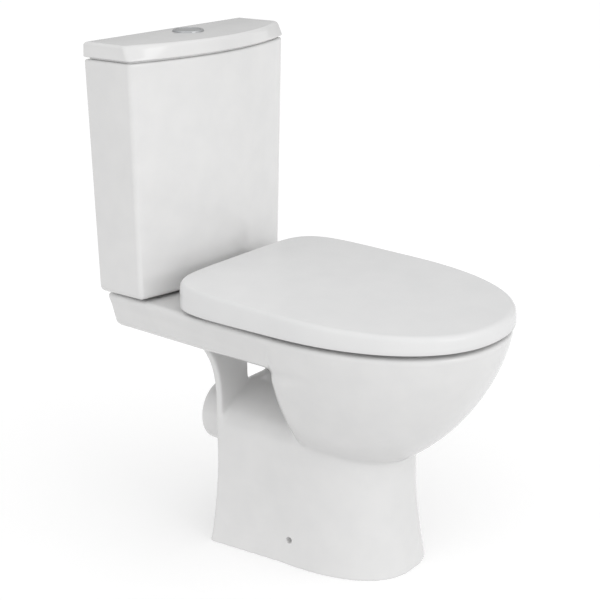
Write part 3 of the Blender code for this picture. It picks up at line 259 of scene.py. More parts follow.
def turned(name, profile, centre, sides=64, closed=True):
    """A profile of (radius, height) points turned about an upright axis."""
    bm = bmesh.new()
    verts = [bm.verts.new((radius, 0.0, height)) for radius, height in profile]
    edges = [bm.edges.new(pair) for pair in zip(verts, verts[1:])]
    if closed:
        edges.append(bm.edges.new((verts[-1], verts[0])))
    bmesh.ops.spin(bm, geom=verts + edges, cent=(0, 0, 0), axis=(0, 0, 1),
                   angle=math.tau, steps=sides, use_merge=True)
    bmesh.ops.remove_doubles(bm, verts=bm.verts, dist=0.00001)
    bmesh.ops.translate(bm, verts=bm.verts, vec=centre)
    return as_object(name, bm)


def loft(name, rings):
    """Skin a stack of closed rings that have the same number of points."""
    bm = bmesh.new()
    rows = [[bm.verts.new(point) for point in ring] for ring in rings]
    count = len(rows[0])
    for lower, upper in zip(rows, rows[1:]):
        for i in range(count):
            j = (i + 1) % count
            bm.faces.new((lower[i], lower[j], upper[j], upper[i]))
    bm.faces.new(list(reversed(rows[0])))
    bm.faces.new(rows[-1])
    return as_object(name, bm)


def extrude_y(name, outline, y_low, y_high):
    return loft(name, [[(x, y, z) for x, z in outline] for y in (y_low, y_high)])


def extrude_x(name, outline, x_low, x_high):
    return loft(name, [[(x, y, z) for y, z in outline] for x in (x_low, x_high)])


def power(value, exponent):
    return math.copysign(abs(value) ** exponent, value)


def mix(pair, share):
    return pair[0] + (pair[1] - pair[0]) * share


def arc(cx, cy, radius, start, end, steps):
    angles = [math.radians(start + (end - start) * i / steps) for i in range(steps + 1)]
    return [(cx + radius * math.cos(a), cy + radius * math.sin(a)) for a in angles]


def fillet(radius, steps=8):
    """Pairs of (inset, drop from the edge's height) round a quarter circle, edge first."""
    angles = [math.radians(90 * i / steps) for i in range(steps + 1)]
    return [(radius * (1 - math.sin(a)), radius * (1 - math.cos(a))) for a in angles]


def spread(low, high, count, bias=1.0):
    """Heights from low to high, closer together near low when the bias is over 1."""
    return [low + (high - low) * (i / (count - 1)) ** bias for i in range(count)]


def relax(obj, rounds, strength):
    """Ease the mesh towards its neighbours; strength gives each vertex's share from its place."""
    mesh = obj.data
    count = len(mesh.vertices)
    place = np.empty(count * 3, np.float32)
    mesh.vertices.foreach_get("co", place)
    place = place.reshape(-1, 3).astype(np.float64)
    ends = np.empty(len(mesh.edges) * 2, np.int32)
    mesh.edges.foreach_get("vertices", ends)
    ends = ends.reshape(-1, 2)
    here = np.concatenate([ends[:, 0], ends[:, 1]])
    there = np.concatenate([ends[:, 1], ends[:, 0]])
    degree = np.bincount(here, minlength=count)[:, None]
    share = strength(place)[:, None]
    for _ in range(rounds):
        total = [np.bincount(here, place[there, axis], count) for axis in range(3)]
        place += share * (np.stack(total, axis=1) / degree - place)
    mesh.vertices.foreach_set("co", place.astype(np.float32).ravel())
    mesh.update()


def voxels(obj, size):
    """Rebuild an object's skin as an even grid of small quads."""
    step = obj.modifiers.new("voxels", "REMESH")
    step.mode = "VOXEL"
    step.voxel_size = size
    return settle(obj)


def shade(obj, angle=35):
    obj.data.shade_smooth()
    obj.data.set_sharp_from_angle(angle=math.radians(angle))


def finish_piece(obj, body, slot, material, *nodes):
    """Give a piece its material and body, and hide the CAD nodes it stands for."""
    obj.data.materials.clear()
    obj.data.materials.append(material)
    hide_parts(*nodes)
    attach(obj, body)
    return obj


# ------------------------------------------------------------------ materials
def nodes_of(name):
    made = bpy.data.materials.new(name)
    made.use_nodes = True
    tree = made.node_tree
    return made, tree, tree.nodes["Principled BSDF"]


def noise(tree, scale, detail=3.0, roughness=0.5):
    """3-D noise in the object's own space, so it doesn't depend on UVs."""
    coords = tree.nodes.new("ShaderNodeTexCoord")
    texture = tree.nodes.new("ShaderNodeTexNoise")
    texture.inputs["Scale"].default_value = scale
    texture.inputs["Detail"].default_value = detail
    texture.inputs["Roughness"].default_value = roughness
    tree.links.new(coords.outputs["Object"], texture.inputs["Vector"])
    return texture.outputs["Fac"]


def ramp(tree, factor, low, high, start=0.3, end=0.7):
    made = tree.nodes.new("ShaderNodeValToRGB")
    made.color_ramp.elements[0].position = start
    made.color_ramp.elements[1].position = end
    made.color_ramp.elements[0].color = (*low, 1.0)
    made.color_ramp.elements[1].color = (*high, 1.0)
    tree.links.new(factor, made.inputs["Fac"])
    return made.outputs["Color"]


def bumps(tree, shader, layers):
    """Chain of bump nodes; each layer is (height, strength, distance)."""
    normal = None
    for height, strength, distance in layers:
        node = tree.nodes.new("ShaderNodeBump")
        node.inputs["Strength"].default_value = strength
        node.inputs["Distance"].default_value = distance
        tree.links.new(height, node.inputs["Height"])
        if normal:
            tree.links.new(normal, node.inputs["Normal"])
        normal = node.outputs["Normal"]
    tree.links.new(normal, shader.inputs["Normal"])


def grey(value, warmth=0.0):
    return (value * (1 + warmth), value, value * (1 - warmth))


def china_glaze():
    """White vitreous china: a thick clear glaze, faintly uneven as it flowed in the kiln."""
    made, tree, shader = nodes_of("china_glaze")
    flow = noise(tree, 9.0, 2.0)
    cloud = noise(tree, 24.0, 4.0)
    peel = noise(tree, 160.0, 2.0)
    tree.links.new(ramp(tree, cloud, grey(0.74, 0.002), grey(0.77, 0.004)), shader.inputs["Base Color"])
    tree.links.new(ramp(tree, flow, grey(0.13), grey(0.20)), shader.inputs["Roughness"])
    shader.inputs["IOR"].default_value = 1.52
    shader.inputs["Coat Weight"].default_value = 0.5
    shader.inputs["Coat Roughness"].default_value = 0.05
    bumps(tree, shader, [(flow, 0.25, 0.0016), (peel, 0.06, 0.00012)])
    return made


def thermoset():
    """Polished white seat plastic: harder looking and a little greyer than the china."""
    made, tree, shader = nodes_of("seat_thermoset")
    swirl = noise(tree, 18.0, 5.0)
    wear = noise(tree, 420.0, 3.0)
    tree.links.new(ramp(tree, swirl, grey(0.765, -0.002), grey(0.79, 0.0)), shader.inputs["Base Color"])
    tree.links.new(ramp(tree, wear, grey(0.20), grey(0.27)), shader.inputs["Roughness"])
    shader.inputs["IOR"].default_value = 1.48
    bumps(tree, shader, [(swirl, 0.10, 0.0007), (wear, 0.05, 0.00005)])
    return made


def moulded(name, colour, roughness=0.42, grain=520.0):
    """Moulded fitting plastic with a fine tool grain and slightly uneven colour."""
    made, tree, shader = nodes_of(name)
    cloud = noise(tree, 60.0, 3.0)
    fine = noise(tree, grain, 2.0)
    darker = tuple(0.93 * value for value in colour)
    tree.links.new(ramp(tree, cloud, darker, colour), shader.inputs["Base Color"])
    polish = ramp(tree, fine, grey(roughness - 0.05), grey(roughness + 0.07))
    tree.links.new(polish, shader.inputs["Roughness"])
    bumps(tree, shader, [(fine, 0.18, 0.00012), (cloud, 0.08, 0.0004)])
    return made


def soft_rubber(name, colour):
    made, tree, shader = nodes_of(name)
    bloom = noise(tree, 140.0, 4.0)
    fine = noise(tree, 900.0, 2.0)
    lighter = tuple(1.25 * value + 0.004 for value in colour)
    tree.links.new(ramp(tree, bloom, colour, lighter), shader.inputs["Base Color"])
    tree.links.new(ramp(tree, bloom, grey(0.60), grey(0.78)), shader.inputs["Roughness"])
    bumps(tree, shader, [(fine, 0.25, 0.00008)])
    return made


def metal(name, colour, roughness, spread_by, scratch_scale):
    """Plated or turned metal: uneven polish and fine marks."""
    made, tree, shader = nodes_of(name)
    haze = noise(tree, scratch_scale * 0.1, 3.0)
    marks = noise(tree, scratch_scale, 2.0)
    darker = tuple(0.92 * value for value in colour)
    tree.links.new(ramp(tree, haze, darker, colour), shader.inputs["Base Color"])
    polish = ramp(tree, marks, grey(roughness), grey(roughness + spread_by))
    tree.links.new(polish, shader.inputs["Roughness"])
    shader.inputs["Metallic"].default_value = 1.0
    bumps(tree, shader, [(marks, 0.05, 0.00005)])
    return made


CHINA_GLAZE = china_glaze()
THERMOSET = thermoset()
FITTING = moulded("fitting_plastic", (0.66, 0.68, 0.70))
RUBBER = soft_rubber("black_rubber", (0.022, 0.022, 0.023))
BUFFER = soft_rubber("buffer_rubber", (0.55, 0.55, 0.54))
CHROME = metal("chrome_plate", (0.52, 0.53, 0.54), 0.05, 0.05, 900.0)
STEEL = metal("plain_steel", (0.55, 0.55, 0.54), 0.28, 0.12, 1400.0)
BRASS = metal("turned_brass", (0.72, 0.52, 0.24), 0.26, 0.12, 1400.0)
SLOT_MATERIAL = {
    "china": CHINA_GLAZE, "seat_plastic": THERMOSET, "valve_plastic": FITTING, "rubber": RUBBER,
    "buffer": BUFFER, "chrome": CHROME, "steel": STEEL, "brass": BRASS,
}


# ------------------------------------------------------------------ plan outlines
def egg(half, front, rear, z, rear_power=BOWL_POWER, count=160, front_power=BOWL_POWER):
    """Closed outline of two superellipse halves that share their widest line."""
    ring = []
    for i in range(count):
        angle = math.tau * (i + 0.5) / count
        side, along = math.cos(angle), math.sin(angle)
        exponent = 2 / (front_power if along < 0 else rear_power)
        reach = front if along < 0 else rear
        ring.append((half * power(side, exponent), RIM_Y + reach * power(along, exponent), z))
    return ring


def half_round_front(half, front, centre_y, power_, steps):
    points = []
    for i in range(steps + 1):
        angle = math.pi + math.pi * i / steps
        points.append((half * power(math.cos(angle), 2 / power_),
                       centre_y + front * power(math.sin(angle), 2 / power_)))
    return points


def shelf_outline(z, inset, front_inset, corner=SHELF_CORNER):
    half = RIM_HALF - front_inset
    rear_half = SHELF_HALF - inset
    rear_y = WALL_Y - min(inset, SHELF_REAR_ROUND)
    points = half_round_front(half, RIM_FRONT - front_inset, RIM_Y, BOWL_POWER, 96)
    points += arc(rear_half - corner, rear_y - corner, corner, 0, 90, 8)
    points += arc(-rear_half + corner, rear_y - corner, corner, 90, 180, 8)
    return [(x, y, z) for x, y in points]


def foot_outline(z, half, front, corner_half, back):
    points = half_round_front(half, front, FOOT_Y, FOOT_POWER, 72)
    points += [(corner_half, back), (-corner_half, back)]
    return [(x, y, z) for x, y in points]


def cistern_outline(z, half, corner_y, front_y, corner_r, inset):
    """Cistern section: flat back, straight sides and a bowed front with round corners."""
    front_steps, corner_steps = 40, 12
    back_y = WALL_Y - inset
    points = arc(-half + corner_r, corner_y + corner_r, corner_r, 180, 250, corner_steps)
    start_x, start_y = points[-1]
    for i in range(1, front_steps):
        x = start_x + (-2 * start_x) * i / front_steps
        points.append((x, front_y + (start_y - front_y) * (x / start_x) ** 2))
    points += arc(half - corner_r, corner_y + corner_r, corner_r, 290, 360, corner_steps)
    small = CISTERN_REAR_R
    points += arc(half - small, back_y - small, small, 0, 90, 4)
    points += arc(-half + small, back_y - small, small, 90, 180, 4)
    return [(x, y, z) for x, y in points]


# ------------------------------------------------------------------ pan
def bowl_scale(z, depth=BOWL_DEPTH):
    drop = max(DECK_Z + 0.004 - z, 0.0)
    return math.sqrt(max(1.0 - (drop / depth) ** BOWL_CURVE, 0.0))


def bowl_ring(z, wall=0.0):
    depth = BOWL_DEPTH - wall
    scale = bowl_scale(z, depth)
    rear_scale = bowl_scale(z, depth * 1.3)
    return egg((RIM_HALF - wall) * scale, (RIM_FRONT - wall) * scale,
               (BOWL_REAR - wall) * rear_scale, z)


def flare(z):
    return max(1.0 - z / FLARE_Z, 0.0) ** FLARE_POWER


def shoulder(z):
    start = HUMP_Z - HUMP_ROUND
    if z <= start:
        return 1.0
    return math.sqrt(max(1.0 - ((z - start) / HUMP_ROUND) ** 2, 0.0))


def foot_ring(z, wall=0.0, back=FOOT_BACK):
    width = shoulder(z + wall * 0.7)
    half = (FOOT_HALF + FLARE_SIDE * flare(z)) * width - wall
    corner = (FOOT_HALF + FLARE_CORNER * flare(z)) * width - wall
    front = FOOT_FRONT + FLARE_FRONT * flare(z) - wall
    return foot_outline(z, half, front, corner, back)


def shelf_band():
    bottom = DECK_Z - SHELF_DEPTH
    lean = SHELF_DEPTH * SHELF_TAPER
    levels = [(bottom, lean + 0.008), (bottom + 0.002, lean + 0.003)]
    for z in (bottom + 0.008, bottom + 0.024, DECK_Z - 0.018, DECK_Z - RIM_ROUND):
        levels.append((z, (DECK_Z - RIM_ROUND - z) * SHELF_TAPER))
    levels += [(DECK_Z - drop, inset) for inset, drop in reversed(fillet(RIM_ROUND))][1:]
    rings = []
    for z, inset in levels:
        sink = SHELF_SINK * max(DECK_Z - RIM_ROUND - z, 0.0)
        rings.append(shelf_outline(z, inset, inset + sink))
    return loft("pan_china", rings)


def hump_levels(top):
    return [top - HUMP_ROUND * (1 - math.sin(math.radians(angle))) for angle in range(0, 88, 7)]


def shelf_hollow():
    reach = HOLLOW_REAR + HOLLOW_CORNER
    outline = arc(SHELF_HALF - reach, WALL_Y - reach, HOLLOW_CORNER, 0, 90, 6)
    outline += arc(-SHELF_HALF + reach, WALL_Y - reach, HOLLOW_CORNER, 90, 180, 6)
    outline += [(HOLLOW_SIDE - SHELF_HALF, HOLLOW_FRONT_Y), (SHELF_HALF - HOLLOW_SIDE, HOLLOW_FRONT_Y)]
    levels = (DECK_Z - SHELF_DEPTH - 0.01, DECK_Z - SHELF_PLATE)
    return loft("shelf_hollow", [[(x, y, z) for x, y in outline] for z in levels])


def pedestal():
    levels = [0.0] + spread(0.004, FLARE_Z, 12) + hump_levels(HUMP_Z)
    return loft("pedestal", [foot_ring(z) for z in levels])


def foot_hollow():
    back = FOOT_BACK - WEB_THICK
    below = [(x, y, -0.01) for x, y, _ in foot_ring(0.0, CHINA, back)]
    levels = spread(0.004, FLARE_Z, 12) + hump_levels(HUMP_Z - CHINA)[:-2]
    return loft("foot_hollow", [below] + [foot_ring(z, CHINA, back) for z in levels])


def foot_doorway():
    half = FOOT_HALF - CHINA - 0.002
    spring = SPIGOT_Z - SPIGOT_R - 0.025
    outline = [(-half, -0.01), (half, -0.01)]
    outline += [(x, spring + (z - spring) * 0.25) for x, z in arc(0, spring, half, 0, 180, 32)]
    return extrude_y("foot_doorway", outline, FOOT_BACK - 0.05, FOOT_BACK + 0.02)


def rear_web():
    """Wall across the back that spreads in a hollow curve up to the shelf."""
    spread_z = DECK_Z - SHELF_DEPTH
    profile = []
    for z in spread(WEB_LOW_Z, spread_z, 28):
        widen = WEB_SPREAD * (max(z - WEB_SPREAD_Z, 0.0) / (spread_z - WEB_SPREAD_Z)) ** 3
        profile.append((FOOT_HALF + FLARE_CORNER * flare(z) + widen, z))
    profile.append((FOOT_HALF + WEB_SPREAD, DECK_Z - RIM_ROUND))
    outline = profile + [(-x, z) for x, z in reversed(profile)]
    return extrude_y("rear_web", outline, FOOT_BACK - WEB_THICK, FOOT_BACK + 0.0002)


def web_window():
    half, corner = WINDOW_HALF, WINDOW_CORNER
    low, high = HUMP_Z + 0.002, DUCT_TOP - DUCT_HEIGHT - CHINA - 0.001
    outline = [(half, high), (-half, high)]
    outline += arc(-half + corner, low + corner, corner, 180, 270, 6)
    outline += arc(half - corner, low + corner, corner, 270, 360, 6)
    return extrude_y("web_window", outline, FOOT_BACK - 0.05, FOOT_BACK + 0.02)


def around(pivot, radius, angle):
    turn = math.radians(angle)
    return (pivot[0] + radius * math.cos(turn), pivot[1] + radius * math.sin(turn))


def trap_stations():
    """Two points and half a width for each section of the trapway, fanned round the dip and the weir."""
    stations = [((0.000, 0.222), (-0.085, 0.222), 0.052), ((0.016, 0.195), (-0.058, 0.195), 0.048)]
    for angle in (180, 195, 210, 225, 240, 255, 270, 285, 300, 315, 330, 355):
        stations.append((around(DIP, DAM_HALF, angle), around(DIP, DAM_HALF + DIP_BORE, angle), 0.042))
    for angle in (175, 160, 145, 130, 115, 102, 90, 65):
        near, far = around(WEIR, WEIR_ROUND + WEIR_BORE, angle), around(WEIR, WEIR_ROUND, angle)
        stations.append((near, far, 0.040))
    stations.append(((0.166, SPIGOT_Z + 0.046), (0.151, SPIGOT_Z - 0.018), 0.041))
    end = SPIGOT_BORE_R - 0.001
    for y in (SPIGOT_END_Y - 0.034, SPIGOT_END_Y - 0.024):
        stations.append(((y, SPIGOT_Z + end), (y, SPIGOT_Z - end), end))
    return stations


def trap_tube(name, wall, sides=48):
    rings = []
    for near, far, half in trap_stations():
        first, last = Vector((0.0, *near)), Vector((0.0, *far))
        out = (last - first).normalized() * wall
        first, last = first - out, last + out
        centre, reach = (first + last) / 2, (last - first) / 2
        angles = [math.tau * k / sides for k in range(sides)]
        side = Vector((half + wall, 0, 0))
        rings.append([centre + reach * math.sin(a) + side * math.cos(a) for a in angles])
    return loft(name, rings)


def opening_ring(z, grow):
    return egg(OPENING_HALF + grow, OPENING_FRONT + grow, OPENING_REAR + grow, z)


def bowl_inside():
    cutter = loft("bowl_inside", [bowl_ring(z, CHINA) for z in spread(0.172, DECK_Z - 0.014, 24, 1.3)])
    low, high = DECK_Z - LIP_DEPTH - 0.010, DECK_Z
    lip = loft("flushing_lip", [opening_ring(z, LIP_THICK) for z in (low, high)])
    cut(lip, loft("lip_hollow", [opening_ring(z, 0.0002) for z in (low - 0.01, high + 0.01)]))
    return cut(cutter, lip)


def mouth():
    """Way into the bowl, flared a little where it meets the rim's top."""
    levels = [(DECK_Z - LIP_DEPTH - 0.02, 0.0), (DECK_Z - 0.005, 0.0)]
    levels += [(DECK_Z - drop, 0.005 - inset) for inset, drop in reversed(fillet(0.005, 6))][1:]
    levels.append((DECK_Z + 0.01, 0.006))
    return loft("mouth", [opening_ring(z, grow) for z, grow in levels])


def pan_softness(place):
    """Share by which each part of the pan is eased: most where the bowl meets the pedestal."""
    x, y, z = place.T
    share = np.full(len(place), 0.5)
    share[z > DECK_Z - 0.003] = 0.25
    share[z < 0.006] = 0.12
    from_hole = np.hypot(y - FIX_HOLE_Y, z - FIX_HOLE_Z)
    near_hole = (from_hole < FIX_HOLE_R + 0.004) & (np.abs(x) > FOOT_HALF - 0.02)
    share[near_hole] = 0.08
    share[(y > FOOT_BACK + 0.02) & (z < 0.25)] = 0.2
    return share


def crease_softness(place):
    """Only the outer hollow between the bowl, the band and the pedestal."""
    x, y, z = place.T
    along = np.clip((y + 0.30) / 0.05, 0, 1) * np.clip((0.125 - y) / 0.03, 0, 1)
    upright = np.clip((z - 0.12) / 0.04, 0, 1) * np.clip((0.352 - z) / 0.02, 0, 1)
    return 0.5 * along * upright


def hollow_under_band(obj):
    """Draw the bowl in a little just below the band's lower edge."""
    mesh = obj.data
    count = len(mesh.vertices)
    place = np.empty(count * 3, np.float32)
    mesh.vertices.foreach_get("co", place)
    place = place.reshape(-1, 3)
    x, y, z = place.T
    edge_z = 0.341 + 0.012 * np.clip((0.02 - y) / 0.10, 0, 1)
    below = np.exp(-((z - edge_z + 0.011) / 0.009) ** 2)
    along = np.clip((y + 0.105) / 0.05, 0, 1) * np.clip((0.10 - y) / 0.05, 0, 1)
    outside = np.abs(x) > 0.128
    depth = 0.0032 * below * along * outside
    place[:, 0] -= np.sign(x) * depth
    mesh.vertices.foreach_set("co", place.ravel())
    mesh.update()


def make_pan():
    """One casting: rim, bowl, trap, flush duct, shelf and pedestal, with every corner glazed soft."""
    pan = cut(shelf_band(), shelf_hollow())
    join(pan, pedestal())
    cut(pan, foot_hollow(), foot_doorway())
    join(pan, cut(rear_web(), web_window()))
    levels = spread(0.151, DECK_Z - 0.005, 44, 1.5)
    join(pan, loft("bowl_outside", [bowl_ring(z) for z in levels]))
    join(pan, trap_tube("trap_outside", TRAP_WALL))
    spigot = rod("spigot", SPIGOT_R, (0, FOOT_BACK - 0.004, SPIGOT_Z), (0, SPIGOT_END_Y, SPIGOT_Z), 96)
    duct_low = DUCT_TOP - DUCT_HEIGHT
    duct = block("duct_outside", (-DUCT_HALF - CHINA, 0.005, duct_low - CHINA),
                 (DUCT_HALF + CHINA, FLUSH_Y + DUCT_HALF + 0.005, DECK_Z - 0.004))
    join(pan, spigot, duct)
    bore_start = (0, SPIGOT_END_Y - 0.028, SPIGOT_Z)
    cut(pan, bowl_inside(), mouth(), trap_tube("trap_inside", 0.0),
        rod("spigot_bore", SPIGOT_BORE_R, bore_start, (0, SPIGOT_END_Y + 0.01, SPIGOT_Z), 96),
        block("duct_inside", (-DUCT_HALF, -0.012, duct_low),
              (DUCT_HALF, FLUSH_Y + DUCT_HALF - 0.003, DUCT_TOP)),
        rod("inlet", INLET_R, (0, FLUSH_Y, DUCT_TOP - 0.01), (0, FLUSH_Y, DECK_Z + 0.01)),
        rod("inlet_recess", RECESS_R, (0, FLUSH_Y, DECK_Z - RECESS_DEPTH), (0, FLUSH_Y, DECK_Z + 0.01)))
    voxels(pan, VOXEL)
    rounds = 14
    relax(pan, rounds, pan_softness)
    relax(pan, rounds * 3, crease_softness)
    hollow_under_band(pan)
    relax(pan, 4, crease_softness)
    low, high = DECK_Z - SHELF_PLATE - 0.01, DECK_Z + 0.01
    holes = [rod("fill_hole", FILL_DECK_HOLE_R, (FILL_X, FLUSH_Y, low), (FILL_X, FLUSH_Y, high))]
    for side in (-1, 1):
        for radius, x, y in ((BOLT_HOLE_R, side * BOLT_X, FLUSH_Y), (STUD_HOLE_R, side * HINGE_X, HINGE_Y)):
            holes.append(rod("deck_hole", radius, (x, y, low), (x, y, high), 32))
        holes.append(rod("fix_hole", FIX_HOLE_R, (side * (FOOT_HALF - 0.03), FIX_HOLE_Y, FIX_HOLE_Z),
                         (side * (FOOT_HALF + 0.03), FIX_HOLE_Y, FIX_HOLE_Z), 32))
    cut(pan, *holes)
    shade(pan, 50)
    return finish_piece(pan, ROOT, "china", CHINA_GLAZE, "pan")


# ------------------------------------------------------------------ cistern
def tank_ring(z, inset=0.0, smallest=0.004):
    share = (z - TANK_LOW.z) / (TANK_HIGH.z - TANK_LOW.z)
    return cistern_outline(z, mix(TANK_HALF, share) - inset, mix(TANK_CORNER_Y, share) + inset,
                           mix(TANK_FRONT_Y, share) + inset, max(TANK_CORNER_R - inset, smallest), inset)


def make_tank():
    low, high = TANK_LOW.z, TANK_HIGH.z
    levels = sorted((low + drop, inset) for inset, drop in fillet(TANK_ROUND))
    levels += [(z, 0.0) for z in spread(low + TANK_ROUND + 0.01, high - 0.01, 8)]
    levels += [(high - drop, inset) for inset, drop in sorted(fillet(0.003, 5), key=lambda pair: -pair[1])]
    tank = loft("tank_china", [tank_ring(z, inset) for z, inset in levels])
    floor = low + TANK_FLOOR
    inside = sorted((floor + drop, TANK_WALL + inset) for inset, drop in fillet(0.0015, 4))
    inside += [(high - 0.003, TANK_WALL), (high + 0.001, TANK_WALL - 0.002)]
    cutters = [loft("tank_inside", [tank_ring(z, inset) for z, inset in inside])]
    holes = ((TAIL_R + 0.001, 0.0), (FILL_HOLE_R, FILL_X), (BOLT_HOLE_R, BOLT_X), (BOLT_HOLE_R, -BOLT_X))
    for radius, x in holes:
        cutters.append(rod("tank_hole", radius, (x, FLUSH_Y, low - 0.01), (x, FLUSH_Y, floor + 0.01)))
    cut(tank, *cutters)
    shade(tank)
    return finish_piece(tank, ROOT, "china", CHINA_GLAZE, "cistern_tank")


def lid_ring(z, inset=0.0):
    share = min(max((z - LID_EDGE_Z) / (LID_HIGH.z - LID_EDGE_Z), 0.0), 1.0)
    return cistern_outline(z, mix(LID_HALF, share) - inset, mix(LID_CORNER_Y, share) + inset,
                           mix(LID_FRONT_Y, share) + inset, max(TANK_CORNER_R - inset, 0.004), inset)


def land_ring(z, inset):
    return [(x, y, z) for x, y, _ in tank_ring(TANK_HIGH.z, inset)]


def make_lid():
    low, high = LID_EDGE_Z, LID_HIGH.z
    levels = sorted((low + drop, inset) for inset, drop in fillet(0.0022, 5))
    levels += [(z, 0.0) for z in spread(low + 0.005, high - LID_ROUND - 0.002, 4)]
    levels += [(high - drop, inset) for inset, drop in sorted(fillet(LID_ROUND), key=lambda pair: -pair[1])]
    lid = loft("lid_china", [lid_ring(z, inset) for z, inset in levels])
    bearing = TANK_HIGH.z + GAP
    rib_low = bearing - LID_RIB
    join(lid, loft("lid_land", [land_ring(z, 0.0055) for z in (bearing, low + 0.004)]),
         loft("lid_rib", [land_ring(z, TANK_WALL + inset) for z, inset in
                          ((rib_low, 0.0035), (rib_low + 0.0015, 0.002), (low + 0.004, 0.002))]))
    inside = (rib_low - 0.01, high - LID_PLATE)
    cut(lid, loft("lid_inside", [land_ring(z, TANK_WALL + 0.008) for z in inside]),
        rod("lid_hole", BUTTON_BORE_R + COLLAR_WALL + GAP, (0, FLUSH_Y, low), (0, FLUSH_Y, high + 0.01), 64))
    shade(lid)
    return finish_piece(lid, "lid", "china", CHINA_GLAZE, "cistern_lid")


# ------------------------------------------------------------------ flush button
def make_collar():
    """Plated ring with a rolled rim, down to the ledge that carries the springs."""
    top = LID_HIGH.z
    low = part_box("button_collar")[0].z
    ledge = low + COLLAR_LEDGE
    inner, tube = BUTTON_BORE_R, BUTTON_BORE_R + COLLAR_WALL
    centre = BUTTON_R - COLLAR_ROLL
    roll = [(centre + COLLAR_ROLL * math.sin(a), top + GAP + COLLAR_ROLL * math.cos(a))
            for a in (math.radians(15 * i) for i in range(7))]
    profile = [(inner, ledge), (inner, top + 0.0020), (inner + 0.0004, top + 0.0026)] + roll
    profile += [(tube, top + GAP), (tube, low), (COLLAR_HOLE_R, low), (COLLAR_HOLE_R, ledge)]
    collar = turned("collar_plated", profile, (0.0, FLUSH_Y, 0.0), 96)
    for node in ("half_flush_push_rod", "full_flush_push_rod"):
        near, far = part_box(node)
        x = (near.x + far.x) / 2
        cut(collar, rod("rod_hole", ROD_HOLE_R, (x, FLUSH_Y, low - 0.01), (x, FLUSH_Y, low + 0.01), 24))
    shade(collar, 40)
    return finish_piece(collar, "lid", "chrome", CHROME, "button_collar")


def make_button(name, side):
    """One of the two buttons: a flat part of a disc with rounded edges, on one side of the split."""
    node = f"{name}_button"
    low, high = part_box(node)[0].z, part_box(node)[1].z
    radius = BUTTON_BORE_R - BUTTON_CLEAR
    split = BUTTON_SPLIT_X + side * BUTTON_CLEAR
    start = math.degrees(math.acos(split / radius))
    sweep = (-start, start) if side > 0 else (start, 360 - start)
    outline = arc(0, 0, radius, *sweep, 48)
    button = loft(f"{name}_plated", [[(x, FLUSH_Y + y, z) for x, y in outline] for z in (low, high)])
    step = button.modifiers.new("edges", "BEVEL")
    step.width = 0.0009
    step.segments = 4
    step.limit_method = "ANGLE"
    step.angle_limit = math.radians(40)
    settle(button)
    shade(button, 40)
    return finish_piece(button, name, "chrome", CHROME, node)


# ------------------------------------------------------------------ seat
def cover_top(y):
    return COVER_TOP_Z + COVER_SLOPE * y


def cover_ring(share, inset, count=220):
    plan = egg(COVER_HALF - inset, COVER_FRONT - inset * 1.5, COVER_REAR - inset, 0.0,
               COVER_REAR_POWER, count, COVER_POWER)
    return [(x, y, COVER_Z + (cover_top(y) - COVER_Z) * share) for x, y, _ in plan]


def lug_outline(kind):
    if kind == "ring":
        outline = arc(HINGE_Y, HINGE_Z, HINGE_R, -90, 90, 24)
        web_y = HINGE_Y - RING_BACK - 0.016
        outline += [(HINGE_Y - 0.006, HINGE_Z + HINGE_R - 0.002), (web_y, RING_Z + RING_THICK - 0.002),
                    (web_y, RING_Z + 0.004), (HINGE_Y - 0.012, RING_Z + 0.004)]
        return outline
    top = cover_top(HINGE_Y) - 0.002
    return arc(HINGE_Y, HINGE_Z, HINGE_R, 180, 360, 24) + [(HINGE_Y + HINGE_R, top), (HINGE_Y - HINGE_R, top)]


def add_eyes(obj, kind):
    """Hinge eyes beside the posts: the ring's inside them, the cover's outside."""
    for side in (-1, 1):
        near = HINGE_X + POST_HALF + LUG_GAP if kind == "cover" else HINGE_X - POST_HALF - LUG_GAP
        far = near + LUG_THICK if kind == "cover" else near - LUG_THICK
        ends = sorted((side * near, side * far))
        join(obj, extrude_x("eye", lug_outline(kind), *ends))
        cut(obj, rod("eye_bore", PIN_R + GAP, (ends[0] - 0.002, HINGE_Y, HINGE_Z),
                     (ends[1] + 0.002, HINGE_Y, HINGE_Z), 32))


